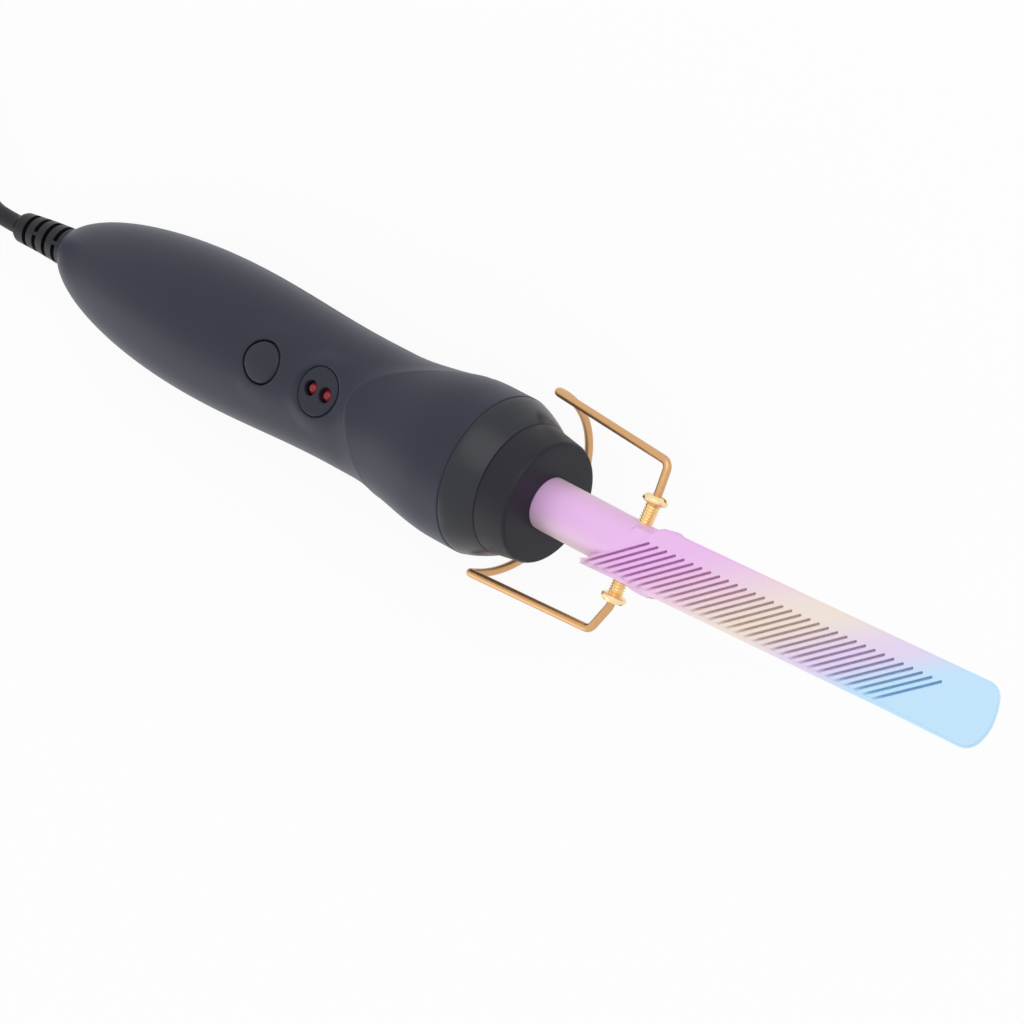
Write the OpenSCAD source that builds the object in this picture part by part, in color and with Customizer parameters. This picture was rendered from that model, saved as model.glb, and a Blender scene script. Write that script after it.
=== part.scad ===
// Electric hot comb: a hollow two-shell handle with its electronics, a cast comb heated from
// inside its shank, a wire stand on two hollow pivot screws, and a coiled mains cord.
// Local frame: X along the comb, 0 at the nose face and + towards the tip; Z up through the
// button; the teeth point to -Y. resting() then lays everything on its handle and its stand.

/* [Handle] */
// Length of the casing, from its rear end to the nose face
handle_l = 164; // [160:1:175]
// Radius of the handle at its fullest point
bulge_r = 17.9; // [17:0.1:20]
// Distance of the fullest point behind the nose face
bulge_back = 107.5; // [104:0.5:112]
// Radius of the flat rear end
butt_r = 5.6; // [5.4:0.1:7]
// Radius of the waist
waist_r = 16.2; // [15.8:0.2:17]
// Distance of the rear end of the waist behind the nose face
waist_rear = 61; // [60:1:66]
// Distance of the front end of the waist behind the nose face
waist_front = 54; // [52:1:56]
// Radius of the bell in front of the waist
bell_r = 19.8; // [19:0.1:21.5]
// Distance of the bell's full radius behind the nose face
bell_back = 24; // [23:0.5:27]
// Height of the hood above the casing that runs under it
hood_rise = 0.6; // [0.4:0.1:1]
// Distance of the hood's rear end behind the nose face
hood_back = 52.5; // [52:0.5:54]
// Lean of the hood's edge, away from upright
hood_lean = 52; // [45:1:56]
// Thickness of the casing's wall
wall = 2.2; // [1.8:0.1:2.6]

/* [Nose] */
// Distance of the shells' front shoulder behind the nose face
ring_back = 16.6; // [15.8:0.1:17.6]
// Distance of the collar's front behind the nose face
collar_back = 8.5; // [7.5:0.5:9]
// Drop from the bell's radius to the collar's front edge
collar_round = 3.4; // [2.8:0.1:3.6]
// Depth of the shells' neck, inside the collar, below the bell's radius
neck_step = 4.4; // [4.2:0.1:4.6]
// Wall of that neck
neck_wall = 1.5; // [1.2:0.1:1.8]
// Step down from the collar's front edge to the nose
nose_step = 0.2; // [0.1:0.1:0.5]
// Taper of the nose's radius, from the collar to its front edge
nose_taper = 1.2; // [0.7:0.1:1.7]
// Edge round of the nose face
nose_edge = 0.7; // [0.4:0.1:1.2]
// Distance of the nose spigot's rear end behind the nose face
spigot_back = 24; // [23.5:0.5:25]
// Width of the rib that locks the nose behind the shells' neck
rib_w = 2; // [1.5:0.1:2.2]
// Height of that rib
rib_h = 1.8; // [1.2:0.1:2]
// Outer radius of the ceramic bush between shank and nose
bush_r = 8.8; // [8.2:0.1:9.2]

/* [Button and lamps] */
// Distance of the power button behind the nose face
button_back = 80.8; // [79:0.1:82.5]
// Radius of the button's cap
button_r = 5.1; // [4.6:0.1:5.4]
// Gap round the cap
button_gap = 0.35; // [0.3:0.05:0.4]
// Travel of the button
button_travel = 0.5; // [0.3:0.1:0.6]
// Distance of the lamp panel behind the nose face
panel_back = 62.5; // [61.5:0.1:64]
// Radius of the lamp panel
panel_r = 6; // [5.7:0.1:6.2]
// Thickness of the lamp panel
panel_t = 1.6; // [1.2:0.1:1.8]
// Depth of the lamp panel's face below the crown of the handle
panel_sink = 0.5; // [0.3:0.1:0.7]
// Radius of a lamp
lamp_r = 1.5; // [1.4:0.05:1.55]
// Distance between the two lamps
lamp_pitch = 4.8; // [4.6:0.1:5.2]

/* [Circuit board] */
// Length of the board
board_l = 51; // [50:0.5:52]
// Width of the board
board_w = 21; // [20:0.5:22]
// Thickness of the board
board_t = 1.6; // [1.2:0.1:1.8]
// Height of the board's top face above the handle's axis
board_z = 7; // [6.8:0.1:7.4]
// Distance of the board's front edge behind the nose face
board_back = 48; // [47.5:0.5:49]

/* [Comb] */
// Radius of the comb's round shank
shank_r = 6.4; // [6.2:0.1:6.5]
// Radius of the heater's bore in the shank
bore_r = 3.6; // [3.4:0.1:3.7]
// Reach of the comb's tip in front of the nose face
tip_x = 132; // [128:0.2:138]
// Distance of the blade's spine from the shank's axis
spine_y = 8; // [7.6:0.1:8.4]
// Distance of the flat's tooth edge from the shank's axis
flat_y = 5.4; // [5:0.1:5.6]
// Distance of the tooth tips from the shank's axis
teeth_y = 7.5; // [7.1:0.1:7.8]
// Thickness of the blade's plate
blade_t = 4.2; // [4:0.1:4.5]
// Height of the blade's flat above the top of the shank
flat_rise = 0.1; // [0.05:0.05:0.3]
// Turn of the blade towards its spine, seen from above
blade_yaw = 2.2; // [0:0.1:2.5]
// Place along the shank about which the blade is turned
blade_turn_x = 28.5; // [26:0.5:44]
// Corner radius of the blade's tip on the spine side
tip_corner = 3.8; // [3:0.1:4.2]
// Corner radius of the blade's tip on the tooth side
tooth_corner = 5.4; // [4.5:0.1:5.8]
// Number of slots between the teeth
slots = 33; // [20:1:33]
// Distance from one slot to the next, along the blade
slot_pitch = 2.58; // [2.3:0.01:2.63]
// Width of a slot
slot_w = 0.65; // [0.5:0.05:0.8]
// Angle between a slot and the blade's length
slot_turn = 34.4; // [33:0.1:36]
// Place of the first slot's inner end along the blade
slot_first_x = 34; // [33.8:0.1:36]
// Distance of the slots' inner ends past the shank's axis
slot_in = 3.45; // [3:0.05:4]
// Depth of a slot at its inner end
slot_depth = 1.6; // [1.2:0.1:1.8]
// Radius of the knuckle that holds the set screws
knuckle_r = 8.5; // [8.2:0.1:8.8]
// Place of the knuckle's middle
knuckle_x = 33; // [32.5:0.1:34]
// Half the length of the knuckle
knuckle_half = 6.4; // [6:0.1:7]
// Place of the set screws along the shank
set_screw_x = 37; // [36.5:0.1:37.2]
// Radius of a set screw
set_screw_r = 2; // [1.8:0.05:2.1]

/* [Heater] */
// Outer radius of the heating element
element_r = 2.7; // [2.4:0.1:2.8]
// Length of the heating element
element_l = 40; // [36:0.5:42]
// Place of the heating element's rear end
element_x = 8; // [7:0.5:9]

/* [Stand] */
// Radius of the stand's wire
wire_r = 1; // [0.8:0.05:1.1]
// Place of the stand's pivot along the shank
pivot_x = 26.5; // [25.5:0.1:27]
// Half the width of the stand at its pivot
pivot_half = 21; // [20:0.1:22]
// Half the width of the stand at its foot
foot_half = 23.5; // [22.5:0.1:24.5]
// Distance from the pivot back to the foot
stand_l = 41.1; // [38:0.1:42]
// Slope of the folded stand below the shank
stand_slope = 4.4; // [3.5:0.1:5.5]
// Bend radius of the wire
wire_bend = 2.2; // [2:0.1:3]
// Lean of the wire back from its pivot, to its corner on the spine side
lean_left = 0.6; // [0:0.1:1.2]
// Lean of the wire back from its pivot, to its corner on the tooth side
lean_right = 2.8; // [2:0.1:3.4]
// Turn of the foot about the upright, its tooth side farther back
foot_skew = 3.9; // [0:0.1:5]
// Radius of a pivot screw's shaft
pivot_screw_r = 1.8; // [1.6:0.05:1.9]
// Radius of a pivot screw's head
pivot_head_r = 3.05; // [2.8:0.05:3.3]
// Thickness of a pivot screw's head
pivot_head_t = 1.9; // [1.5:0.1:2.2]
// Distance of the heads' inner faces from the shank's axis
pivot_head_y = 11.3; // [10.8:0.1:11.8]

/* [Cord] */
// Diameter of the mains cord
cord_d = 4.8; // [4.6:0.1:4.8]
// Length of the strain relief behind the handle
relief_l = 19; // [17:0.2:20]
// Radius of the strain relief at the handle
relief_r = 5.1; // [4.8:0.1:5.2]
// Radius of the strain relief at its small end
relief_end_r = 3.9; // [3.5:0.1:4]
// Radius of a plug pin
pin_r = 2; // [2:0.1:2.4]
// Length of a plug pin
pin_l = 19; // [18:0.5:20]
// Distance between the plug pins
pin_pitch = 18.6; // [17.5:0.1:19]
// Length of the plug's body
plug_l = 34; // [32:0.5:36]
// Width of the plug's body
plug_w = 33; // [30:0.5:35]
// Height of the plug's body
plug_h = 13.6; // [12.6:0.2:14]

/* [Hidden] */
$fn = 64;

fit = 0.05;         // running clearance of pins, screws and spigots
seat = 0.1;         // clearance of parts that only sit in each other
big = 400;          // reach of a cutting half space
step = 4;           // spacing of the casing's profile points

// ---- Handle outline ----
function smooth(u) = (1 - cos(180 * min(1, max(0, u)))) / 2;
function mix(a, b, u) = a + (b - a) * u;
butt_l = (handle_l - bulge_back) / sqrt(1 - pow(butt_r / bulge_r, 2));

// Radius of the casing at x, ending in front with the radius front_r.
function casing_r(x, front_r) =
    x < -bulge_back ? bulge_r * sqrt(1 - pow((x + bulge_back) / butt_l, 2))
    : x < -waist_front ? mix(bulge_r, waist_r, smooth((x + bulge_back) / (bulge_back - waist_rear)))
    : mix(waist_r, front_r, smooth((x + waist_front) / (waist_front - bell_back)));

// Radius of the hood, which stands hood_rise above the casing at its rear end.
hood_flat = 1.5;                   // length of the hood's edge before it starts to swell
function hood_r(x) = mix(waist_r + hood_rise, bell_r,
    smooth((x + hood_back - hood_flat) / (hood_back - hood_flat - bell_back)));

butt_steps = 12;
// Profile stations: evenly turned along the elliptical rear end, then every step.
function stations(rear, front) = concat(
    [for (i = [0 : butt_steps - 1])
        -bulge_back + (rear + bulge_back) * cos(90 * i / butt_steps)],
    [for (x = [-bulge_back : step : front - step / 2]) x], [front]);

// ---- Resting attitude ----
arc_x = pivot_x - stand_l * cos(stand_slope);       // foot of the stand, in the local frame
arc_z = -stand_l * sin(stand_slope);
foot_low_x = arc_x + foot_half * sin(stand_slope);
foot_low_z = arc_z - foot_half * cos(stand_slope);
// Height of the lowest point of the foot and of the handle when the tip is raised by tilt.
function foot_low(tilt) = foot_low_x * sin(tilt) + foot_low_z * cos(tilt) - wire_r;
function handle_low(tilt) = min([for (x = stations(-handle_l, -waist_rear))
    x * sin(tilt) - casing_r(x, bell_r) * cos(tilt)]);
// Tilt at which both touch the floor, by halving the interval lo to hi.
function rest_tilt(lo, hi, n) = n == 0 ? (lo + hi) / 2
    : foot_low((lo + hi) / 2) < handle_low((lo + hi) / 2) ? rest_tilt((lo + hi) / 2, hi, n - 1)
    : rest_tilt(lo, (lo + hi) / 2, n - 1);
tilt = rest_tilt(0, 12, 24);
rear_x = -(handle_l + relief_l) * cos(tilt) - relief_end_r * sin(tilt);
front_x = tip_x * cos(tilt) - (shank_r + flat_rise) * sin(tilt);
shift_x = -(rear_x + front_x) / 2;
shift_z = -foot_low(tilt);
function placed(p) = [p[0] * cos(tilt) - p[2] * sin(tilt) + shift_x, p[1],
    p[0] * sin(tilt) + p[2] * cos(tilt) + shift_z];

module resting() {
    translate([shift_x, 0, shift_z]) rotate([0, -tilt, 0]) children();
}

// ---- Shape helpers ----
// Solid of revolution about X from points [radius, x].
module turned(points) {
    rotate([0, 90, 0]) rotate_extrude() polygon(points);
}
// Cylinder along X from x0 to x1.
module rod_x(r, x0, x1) {
    translate([x0, 0, 0]) rotate([0, 90, 0]) cylinder(r = r, h = x1 - x0);
}
// Cylinder along Y from y0 to y1.
module rod_y(r, y0, y1) {
    translate([0, y0, 0]) rotate([-90, 0, 0]) cylinder(r = r, h = y1 - y0);
}
// Upright cylinder at [x, y] from z0 to z1.
module post(r, at, z0, z1) {
    translate([at[0], at[1], z0]) cylinder(r = r, h = z1 - z0);
}
module box(x, y, z) {
    translate([x[0], y[0], z[0]]) cube([x[1] - x[0], y[1] - y[0], z[1] - z[0]]);
}
module ring_x(r_out, r_in, x0, x1) {
    rotate([0, 90, 0]) translate([0, 0, x0]) difference() {
        cylinder(r = r_out, h = x1 - x0);
        translate([0, 0, -1]) cylinder(r = r_in, h = x1 - x0 + 2);
    }
}

// Tube swept along points with a ring at each, every ring square to the route there.
function unit(v) = v / norm(v);
function heading(p, i) = i == 0 ? unit(p[1] - p[0])
    : i == len(p) - 1 ? unit(p[i] - p[i - 1])
    : unit(unit(p[i + 1] - p[i]) + unit(p[i] - p[i - 1]));
module tube(p, r, sides = 8) {
    rings = [for (i = [0 : len(p) - 1]) let (
        d = heading(p, i),
        side = unit(cross([0, 0, 1], d)),
        top = cross(d, side))
        for (k = [0 : sides - 1])
            p[i] + r * (cos(360 * k / sides) * side + sin(360 * k / sides) * top)];
    last = (len(p) - 1) * sides;
    walls = [for (i = [0 : len(p) - 2], k = [0 : sides - 1]) let (
        a = i * sides + k, b = i * sides + (k + 1) % sides)
        each [[a, b + sides, b], [a, a + sides, b + sides]]];
    ends = [[for (k = [0 : sides - 1]) k], [for (k = [sides - 1 : -1 : 0]) last + k]];
    polyhedron(points = rings, faces = concat(walls, ends), convexity = 6);
}
// Points of a smooth curve through the given ones, parts to a span.
function spline_at(a, b, c, d, t) = 0.5 * (2 * b + (c - a) * t
    + (2 * a - 5 * b + 4 * c - d) * t * t + (3 * b - a - 3 * c + d) * t * t * t);
function curve(p, parts) = [for (i = [0 : len(p) - 2], k = [0 : parts - 1])
    spline_at(p[max(0, i - 1)], p[i], p[i + 1], p[min(len(p) - 1, i + 2)], k / parts),
    p[len(p) - 1]];

// ---- Casing ----
// Revolved casing, drawn in by inset, from x = rear to x = front.
module casing_form(inset, rear, front, front_r) {
    s = stations(rear, front);
    turned(concat([[0, rear]], [for (x = s) [casing_r(x, front_r) - inset, x]], [[0, front]]));
}
under_r = bell_r - hood_rise;     // the casing under the hood
module hood_form() {
    x0 = -hood_back - 2;
    intersection() {
        turned(concat([[0, x0]],
            [for (x = [x0 : step : -ring_back - step / 2]) [hood_r(x), x]],
            [[hood_r(-ring_back), -ring_back], [0, -ring_back]]));
        translate([-hood_back, 0, waist_r + hood_rise]) rotate([0, -hood_lean, 0])
            translate([0, -big / 2, -big / 2]) cube([big, big, big]);
    }
}
module outer_form() {
    union() {
        casing_form(0, -handle_l, -ring_back, under_r);
        hood_form();
    }
}
collar_front_r = bell_r - collar_round;
nose_rear_r = collar_front_r - nose_step;
nose_front_r = nose_rear_r - nose_taper;
neck_r = bell_r - neck_step;
neck_front = collar_back + seat;
spigot_r = neck_r - neck_wall - seat;
cavity_front = ring_back + wall;
relief_neck_r = relief_r - 1;      // groove of the strain relief, held in the casing's rear end
module shell_blank() {
    difference() {
        union() {
            outer_form();
            rod_x(neck_r, -ring_back - wall / 2, -neck_front);
        }
        casing_form(wall, -handle_l + wall, -cavity_front, under_r);
        rod_x(spigot_r + seat, -cavity_front - 1, 0);
        rod_x(relief_neck_r + fit, -handle_l - 1, -handle_l + wall + 1);
    }
}
// Casing screws: [x, y] of each.
rear_screw_x = 43 - handle_l;
case_screw_xy = [[rear_screw_x, 0], [-38, 9.5], [-38, -9.5]];
case_screw_r = 1.25;
case_head_r = 2.7;
case_head_t = 1.9;
case_seat_z = -9;                  // underside of the screw heads' seats
case_tip_z = 6;
boss_r = 3;
low_boss_r = case_head_r + 1.3;
board_rear = -board_back - board_l;
board_screw_x = [board_rear + 3.5, -board_back - 3.5];
board_screw_r = 0.85;
board_post_r = 2.4;
board_screw_top = board_z + 4;
panel_top = waist_r - panel_sink;
panel_floor = panel_top - panel_t;
panel_pad_z = panel_floor - wall + 0.3;
lamp_x = [-panel_back - lamp_pitch / 2, -panel_back + lamp_pitch / 2];
lamp_well_r = lamp_r + 0.4;
rim = 0.95;                        // width of the bevel round the panel's recess

module upper_shell() {
    color("#3c3e48") resting() difference() {
        union() {
            intersection() { shell_blank(); box([-big, big], [-big, big], [0, big]); }
            intersection() {
                casing_form(wall / 2, -handle_l + wall / 2, -cavity_front, under_r);
                union() {
                    for (at = case_screw_xy) post(boss_r, at, 0, bell_r);
                    for (x = board_screw_x) post(board_post_r, [x, 0], board_z, bell_r);
                    post(panel_r + 1.6, [-panel_back, 0], panel_pad_z, bell_r);
                }
            }
        }
        for (at = case_screw_xy) post(case_screw_r + fit, at, -1, case_tip_z + 0.5);
        for (x = board_screw_x) post(board_screw_r + fit, [x, 0], 0, board_screw_top + 0.5);
        post(button_r + button_gap, [-button_back, 0], 10, bell_r);
        post(panel_r + seat, [-panel_back, 0], panel_floor, bell_r);
        translate([-panel_back, 0, panel_top - 0.3])
            cylinder(r1 = panel_r + seat, r2 = panel_r + seat + 2 * rim, h = 2 * rim);
        for (x = lamp_x) post(lamp_well_r + 0.3, [x, 0], 10, bell_r);
    }
}

module lower_shell() {
    color("#3a3c46") resting() difference() {
        union() {
            intersection() { shell_blank(); box([-big, big], [-big, big], [-big, 0]); }
            intersection() {
                casing_form(wall / 2, -handle_l + wall / 2, -cavity_front, under_r);
                union() {
                    for (at = case_screw_xy) post(low_boss_r, at, -bell_r, -0.02);
                    for (y = clamp_screw_y) post(clamp_post_r, [clamp_x, y], -bell_r, clamp_z - 0.02);
                    box([clamp_x - clamp_w / 2, clamp_x + clamp_w / 2], [-cord_r, cord_r],
                        [-bell_r, -cord_r - 0.02]);
                }
            }
        }
        for (at = case_screw_xy) {
            post(case_screw_r + 0.3, at, -bell_r, 1);
            post(case_head_r + 0.25, at, -bell_r - 1, case_seat_z);
        }
        for (y = clamp_screw_y) post(clamp_screw_r + fit, [clamp_x, y], clamp_z - 6, clamp_z + 1);
    }
}

module case_screws() {
    color("#b9bcc0") resting() for (at = case_screw_xy) difference() {
        union() {
            post(case_head_r, at, case_seat_z - case_head_t, case_seat_z);
            post(case_screw_r, at, case_seat_z - 0.5, case_tip_z);
        }
        screw_cross(at, case_seat_z - case_head_t, 1);
    }
}
// Cross recess in a screw head; the drive faces down (way 1) or up (way -1).
module screw_cross(at, z, way) {
    for (turn = [0, 90]) translate([at[0], at[1], z]) rotate([0, 0, turn])
        translate([-1.4, -0.3, way > 0 ? -0.5 : -0.8]) cube([2.8, 0.6, 1.3]);
}

// ---- Nose ----
module collar_ring() {
    rear_r = bell_r - 0.1;
    cone = [for (i = [0 : 8]) let (u = i / 8) [mix(rear_r, collar_front_r, pow(u, 1.3)),
        mix(-ring_back, -collar_back, u)]];
    color("#34363f") resting() turned(concat([[neck_r + seat, -ring_back]], cone,
        [[neck_r + seat, -collar_back]]));
}
module nose_cap() {
    color("#2d2e32") resting() difference() {
        turned([[shank_r + 0.3, 0], [nose_front_r - nose_edge, 0],
            [nose_front_r - 0.2, -0.25 * nose_edge], [nose_front_r, -nose_edge - 0.4],
            [nose_rear_r, -collar_back], [spigot_r, -collar_back],
            [spigot_r, -cavity_front - fit], [spigot_r + rib_h, -cavity_front - fit],
            [spigot_r + rib_h, -cavity_front - fit - rib_w], [spigot_r, -cavity_front - fit - rib_w],
            [spigot_r, -spigot_back], [bush_r + seat, -spigot_back], [bush_r + seat, -3],
            [shank_r + 0.3, -3]]);
        for (way = [-1, 1]) translate([0, 0, way * flange_screw_z])
            rod_x(flange_screw_r + fit, -spigot_back - 1, -spigot_back + 8.5);
    }
}
module nose_bush() {
    color("#e6e2d6") resting() ring_x(bush_r, shank_r + seat, -spigot_back + 0.2, -3 - seat);
}
flange_t = 1.5;
flange_rear = -spigot_back - flange_t;
flange_screw_r = 1.15;
flange_screw_z = (bush_r + spigot_r) / 2;
shank_groove_r = shank_r - 0.8;
flange_split = 0.25;
module shank_flange() {
    color("#a8abb0") resting() for (way = [-1, 1]) intersection() {
        difference() {
            ring_x(spigot_r - 0.5, shank_groove_r + fit, flange_rear, -spigot_back);
            translate([0, 0, way * flange_screw_z])
                rod_x(flange_screw_r + fit, flange_rear - 1, -spigot_back + 1);
        }
        box([-big, big], [-big, big], way > 0 ? [flange_split, big] : [-big, -flange_split]);
    }
}
module flange_screws() {
    color("#b9bcc0") resting() for (way = [-1, 1]) translate([0, 0, way * flange_screw_z]) union() {
        rod_x(2.1, flange_rear - 1.5, flange_rear);
        rod_x(flange_screw_r, flange_rear - 0.5, -spigot_back + 8);
    }
}

// ---- Button and lamps ----
flange_top = 13.1;                 // top of the button's flange, under the casing's roof
button_flange_r = 6.2;
button_flange_t = 0.8;
plunger_top = 11.5;
plunger_r = 1.75;
button_proud = 0.25;
module power_button() {
    at = [-button_back, 0];
    color("#36383f") resting() union() {
        intersection() {
            post(button_r, at, flange_top - 0.1, bell_r);
            casing_form(-button_proud, -handle_l, -ring_back, under_r);
        }
        post(button_flange_r, at, flange_top - button_flange_t, flange_top);
        post(plunger_r + 0.3, at, plunger_top, flange_top - 0.2);
    }
}
switch_w = 6.2;
switch_h = 3.4;
plunger_low = 9.2;
module switch_plunger() {
    color("#1f1f22") resting() post(plunger_r, [-button_back, 0], plunger_low, plunger_top);
}
module switch_body() {
    color("#3d3d40") resting() difference() {
        box([-button_back - switch_w / 2, -button_back + switch_w / 2],
            [-switch_w / 2, switch_w / 2], [board_z, board_z + switch_h]);
        post(plunger_r + seat, [-button_back, 0], plunger_low - button_travel - 0.3, big);
    }
}
module lamp_panel() {
    color("#33353c") resting() difference() {
        post(panel_r, [-panel_back, 0], panel_floor, panel_top);
        for (x = lamp_x) post(lamp_well_r, [x, 0], panel_floor - 1, panel_top + 1);
    }
}
lamp_low = 10;
module lamp(x) {
    dome_z = panel_top - 0.5 - lamp_r;
    resting() union() {
        post(lamp_r + 0.4, [x, 0], lamp_low, lamp_low + 0.9);
        post(lamp_r, [x, 0], lamp_low, dome_z);
        translate([x, 0, dome_z]) sphere(r = lamp_r);
        for (y = [-1, 1]) post(0.25, [x, y], board_z, lamp_low + 0.2);
    }
}
module low_heat_lamp() { color("#a02a2a") lamp(lamp_x[0]); }
module high_heat_lamp() { color("#b03038") lamp(lamp_x[1]); }

// ---- Circuit board and what it carries ----
board_low = board_z - board_t;
module circuit_board() {
    color("#2f6b3f") resting() difference() {
        box([board_rear, -board_back], [-board_w / 2, board_w / 2], [board_low, board_z]);
        for (x = board_screw_x) post(board_screw_r + 0.2, [x, 0], board_low - 1, board_z + 1);
    }
}
module board_screws() {
    color("#c2c4c8") resting() for (x = board_screw_x) difference() {
        union() {
            post(1.9, [x, 0], board_low - 1.2, board_low);
            post(board_screw_r, [x, 0], board_low - 0.5, board_screw_top);
        }
        translate([x, 0, board_low - 1.4]) translate([-1.5, -0.25, 0]) cube([3, 0.5, 0.8]);
    }
}
module control_chip() {
    x = -button_back - switch_w / 2 - 4;
    color("#202124") resting() union() {
        box([x - 3, x + 3], [-7.6, -3.6], [board_z + 0.1, board_z + 1.6]);
        for (i = [0 : 3], y = [-8.5, -3.6])
            box([x - 2.4 + 1.4 * i, x - 1.9 + 1.4 * i], [y, y + 0.9], [board_z, board_z + 0.6]);
    }
}
module heater_triac() {
    x = -board_back - 13;
    color("#2a2a2d") resting() union() {
        box([x - 5, x + 5], [-9.5, -5], [board_low - 12, board_low - 3]);
        box([x - 5, x + 5], [-5.2, -4], [board_low - 14.5, board_low - 3]);
        for (i = [-1 : 1]) box([x - 0.4 + 2.5 * i, x + 0.4 + 2.5 * i], [-7.2, -6.6],
            [board_low - 3.5, board_low]);
    }
}
module dropper_capacitor() {
    x = -board_back - 32;
    color("#b5762c") resting() box([x - 9, x + 9], [2, 9], [board_low - 11, board_low]);
}
module filter_capacitor() {
    x = -board_back - 37;
    color("#2b3a5c") resting() post(3.2, [x, -5.5], board_low - 10, board_low);
}
module board_resistors() {
    color("#c9a97a") resting() for (i = [0 : 2]) let (x = -board_back - 17 + 3.2 * i) {
        translate([x, 0, board_low - 1.4]) rod_y(1.1, 3, 9);
        for (y = [2.2, 9.2]) box([x - 0.25, x + 0.25], [y, y + 0.5], [board_low - 1.6, board_low]);
        translate([x, 0, board_low - 1.4]) rod_y(0.25, 2.2, 9.7);
    }
}
module mains_fuse() {
    x = -board_back - 25.5;
    color("#d8d6cc") resting() translate([0, -6, board_low - 2.6]) union() {
        rod_x(2.4, x - 7, x + 7);
        rod_x(2.6, x - 7.4, x - 5);
        rod_x(2.6, x + 5, x + 7.4);
    }
}

// ---- Cord entry ----
cord_r = cord_d / 2;
clamp_x = 17 - handle_l;
clamp_w = 6;
clamp_z = 1.4;                     // underside of the clamp bar at its screws
clamp_t = 2.4;
clamp_screw_y = [-6.2, 6.2];
clamp_post_r = 2.2;
clamp_screw_r = 1;
module cord_clamp() {
    color("#8e9196") resting() difference() {
        box([clamp_x - clamp_w / 2, clamp_x + clamp_w / 2], [-8.6, 8.6],
            [clamp_z, clamp_z + clamp_t + 1]);
        rod_x(cord_r + fit, clamp_x - clamp_w, clamp_x + clamp_w);
        for (y = clamp_screw_y) post(clamp_screw_r + 0.2, [clamp_x, y], 0, 10);
    }
}
module clamp_screws() {
    top = clamp_z + clamp_t + 1;
    color("#b9bcc0") resting() for (y = clamp_screw_y) difference() {
        union() {
            post(1.9, [clamp_x, y], top, top + 1.3);
            post(clamp_screw_r, [clamp_x, y], clamp_z - 5, top + 0.5);
        }
        screw_cross([clamp_x, y], top + 1.3, -1);
    }
}
inner_cord_end = clamp_x + 8;
lead_end = -board_back - 45;       // where the mains leads meet the board
function lead_x(u) = mix(inner_cord_end, lead_end, u);
module inner_cord() {
    color("#1c1d20") resting() rod_x(cord_r, -handle_l - relief_l, inner_cord_end);
}
lead_r = 0.8;
mains_lead_points = [[inner_cord_end, 1.2, 0], [lead_x(0.08), 1.4, 0.1], [lead_x(0.22), 4.5, 0.8],
    [lead_x(0.37), 5.4, 1.6], [lead_x(0.55), 5.2, 2.6], [lead_x(0.74), 4.4, 3.6],
    [lead_x(0.94), 3.6, 4.3], [lead_end, 3.5, board_low - lead_r - 0.05]];
function mirrored(p) = [for (q = p) [q[0], -q[1], q[2]]];
module mains_leads() {
    color("#7c4a2a") resting() {
        tube(curve(mains_lead_points, 2), lead_r);
        tube(curve(mirrored(mains_lead_points), 2), lead_r);
    }
}
heater_lead_points = [[-board_back - 6, 3, board_low - lead_r - 0.05],
    [-board_back, 3, board_low - lead_r - 0.3], [6 - board_back, 2.8, 3],
    [12 - board_back, 2.2, 1.5], [18 - board_back, 1.6, 0.4],
    [-24, 1.3, 0], [-12, 1.3, 0], [0, 1.3, 0], [element_x, 1.3, 0]];
module heater_leads() {
    color("#d9d4c4") resting() {
        tube(curve(heater_lead_points, 2), lead_r);
        tube(curve(mirrored(heater_lead_points), 2), lead_r);
    }
}
module thermal_fuse() {
    color("#c9ccd0") resting() translate([0, 0, -1.7]) union() {
        rod_x(1.1, -16, -6);
        rod_x(0.35, -18.5, -3.5);
    }
}

// Strain relief: a tapered boot with staggered windows, two to a ring.
relief_rings = 4;
relief_pitch = 3.8;
relief_window = 1.4;
relief_core_r = cord_r + 0.25;
module strain_relief() {
    end_x = -handle_l - relief_l;
    lip = 1.2;
    color("#26272b") resting() difference() {
        turned([[cord_r, end_x], [relief_end_r - 0.5, end_x], [relief_end_r, end_x + lip],
            [relief_r, -handle_l], [relief_neck_r, -handle_l], [relief_neck_r, -handle_l + wall],
            [relief_r - 0.3, -handle_l + wall], [relief_r + 0.6, -handle_l + wall + 2.4],
            [cord_r, -handle_l + wall + 2.4]]);
        for (i = [0 : relief_rings - 1])
            let (x = -handle_l - 2 - relief_pitch * i, turn = i % 2 == 0 ? 90 : 0)
            for (way = [0, 180]) rotate([turn + way, 0, 0]) intersection() {
                ring_x(relief_r + 1, relief_core_r, x - relief_window, x);
                box([-big, big], [-4.2, 4.2], [0.5, big]);
            }
    }
}

// ---- Comb ----
flat_z = shank_r + flat_rise;
shank_rear = flange_rear - 2.5;
bore_end = element_x + element_l + 2;
// Plan of the blade: the slanted rear edge, the tooth side, the rounded tip, the spine.
rear_land = 2.2;                   // width of the plate behind the first slot
rear_corner_x = slot_first_x - (slot_in + teeth_y) / tan(slot_turn) - rear_land;
rear_spine_x = rear_corner_x + (teeth_y + spine_y) / tan(slot_turn);
function arc_points(cx, cy, r, a0, a1, n) =
    [for (i = [0 : n]) let (a = a0 + (a1 - a0) * i / n) [cx + r * cos(a), cy + r * sin(a)]];
bow_y = (spine_y - teeth_y) / 2;
blade_plan = concat([[rear_corner_x, -teeth_y]],
    arc_points(tip_x - 0.7 - tooth_corner, tooth_corner - teeth_y, tooth_corner, -90, -25, 6),
    [[tip_x - 0.45, bow_y - 2.8], [tip_x, bow_y + 0.4], [tip_x - 0.15, bow_y + 2.6]],
    arc_points(tip_x - 0.55 - tip_corner, spine_y - tip_corner, tip_corner, 15, 90, 6),
    [[rear_spine_x, spine_y]]);
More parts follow.
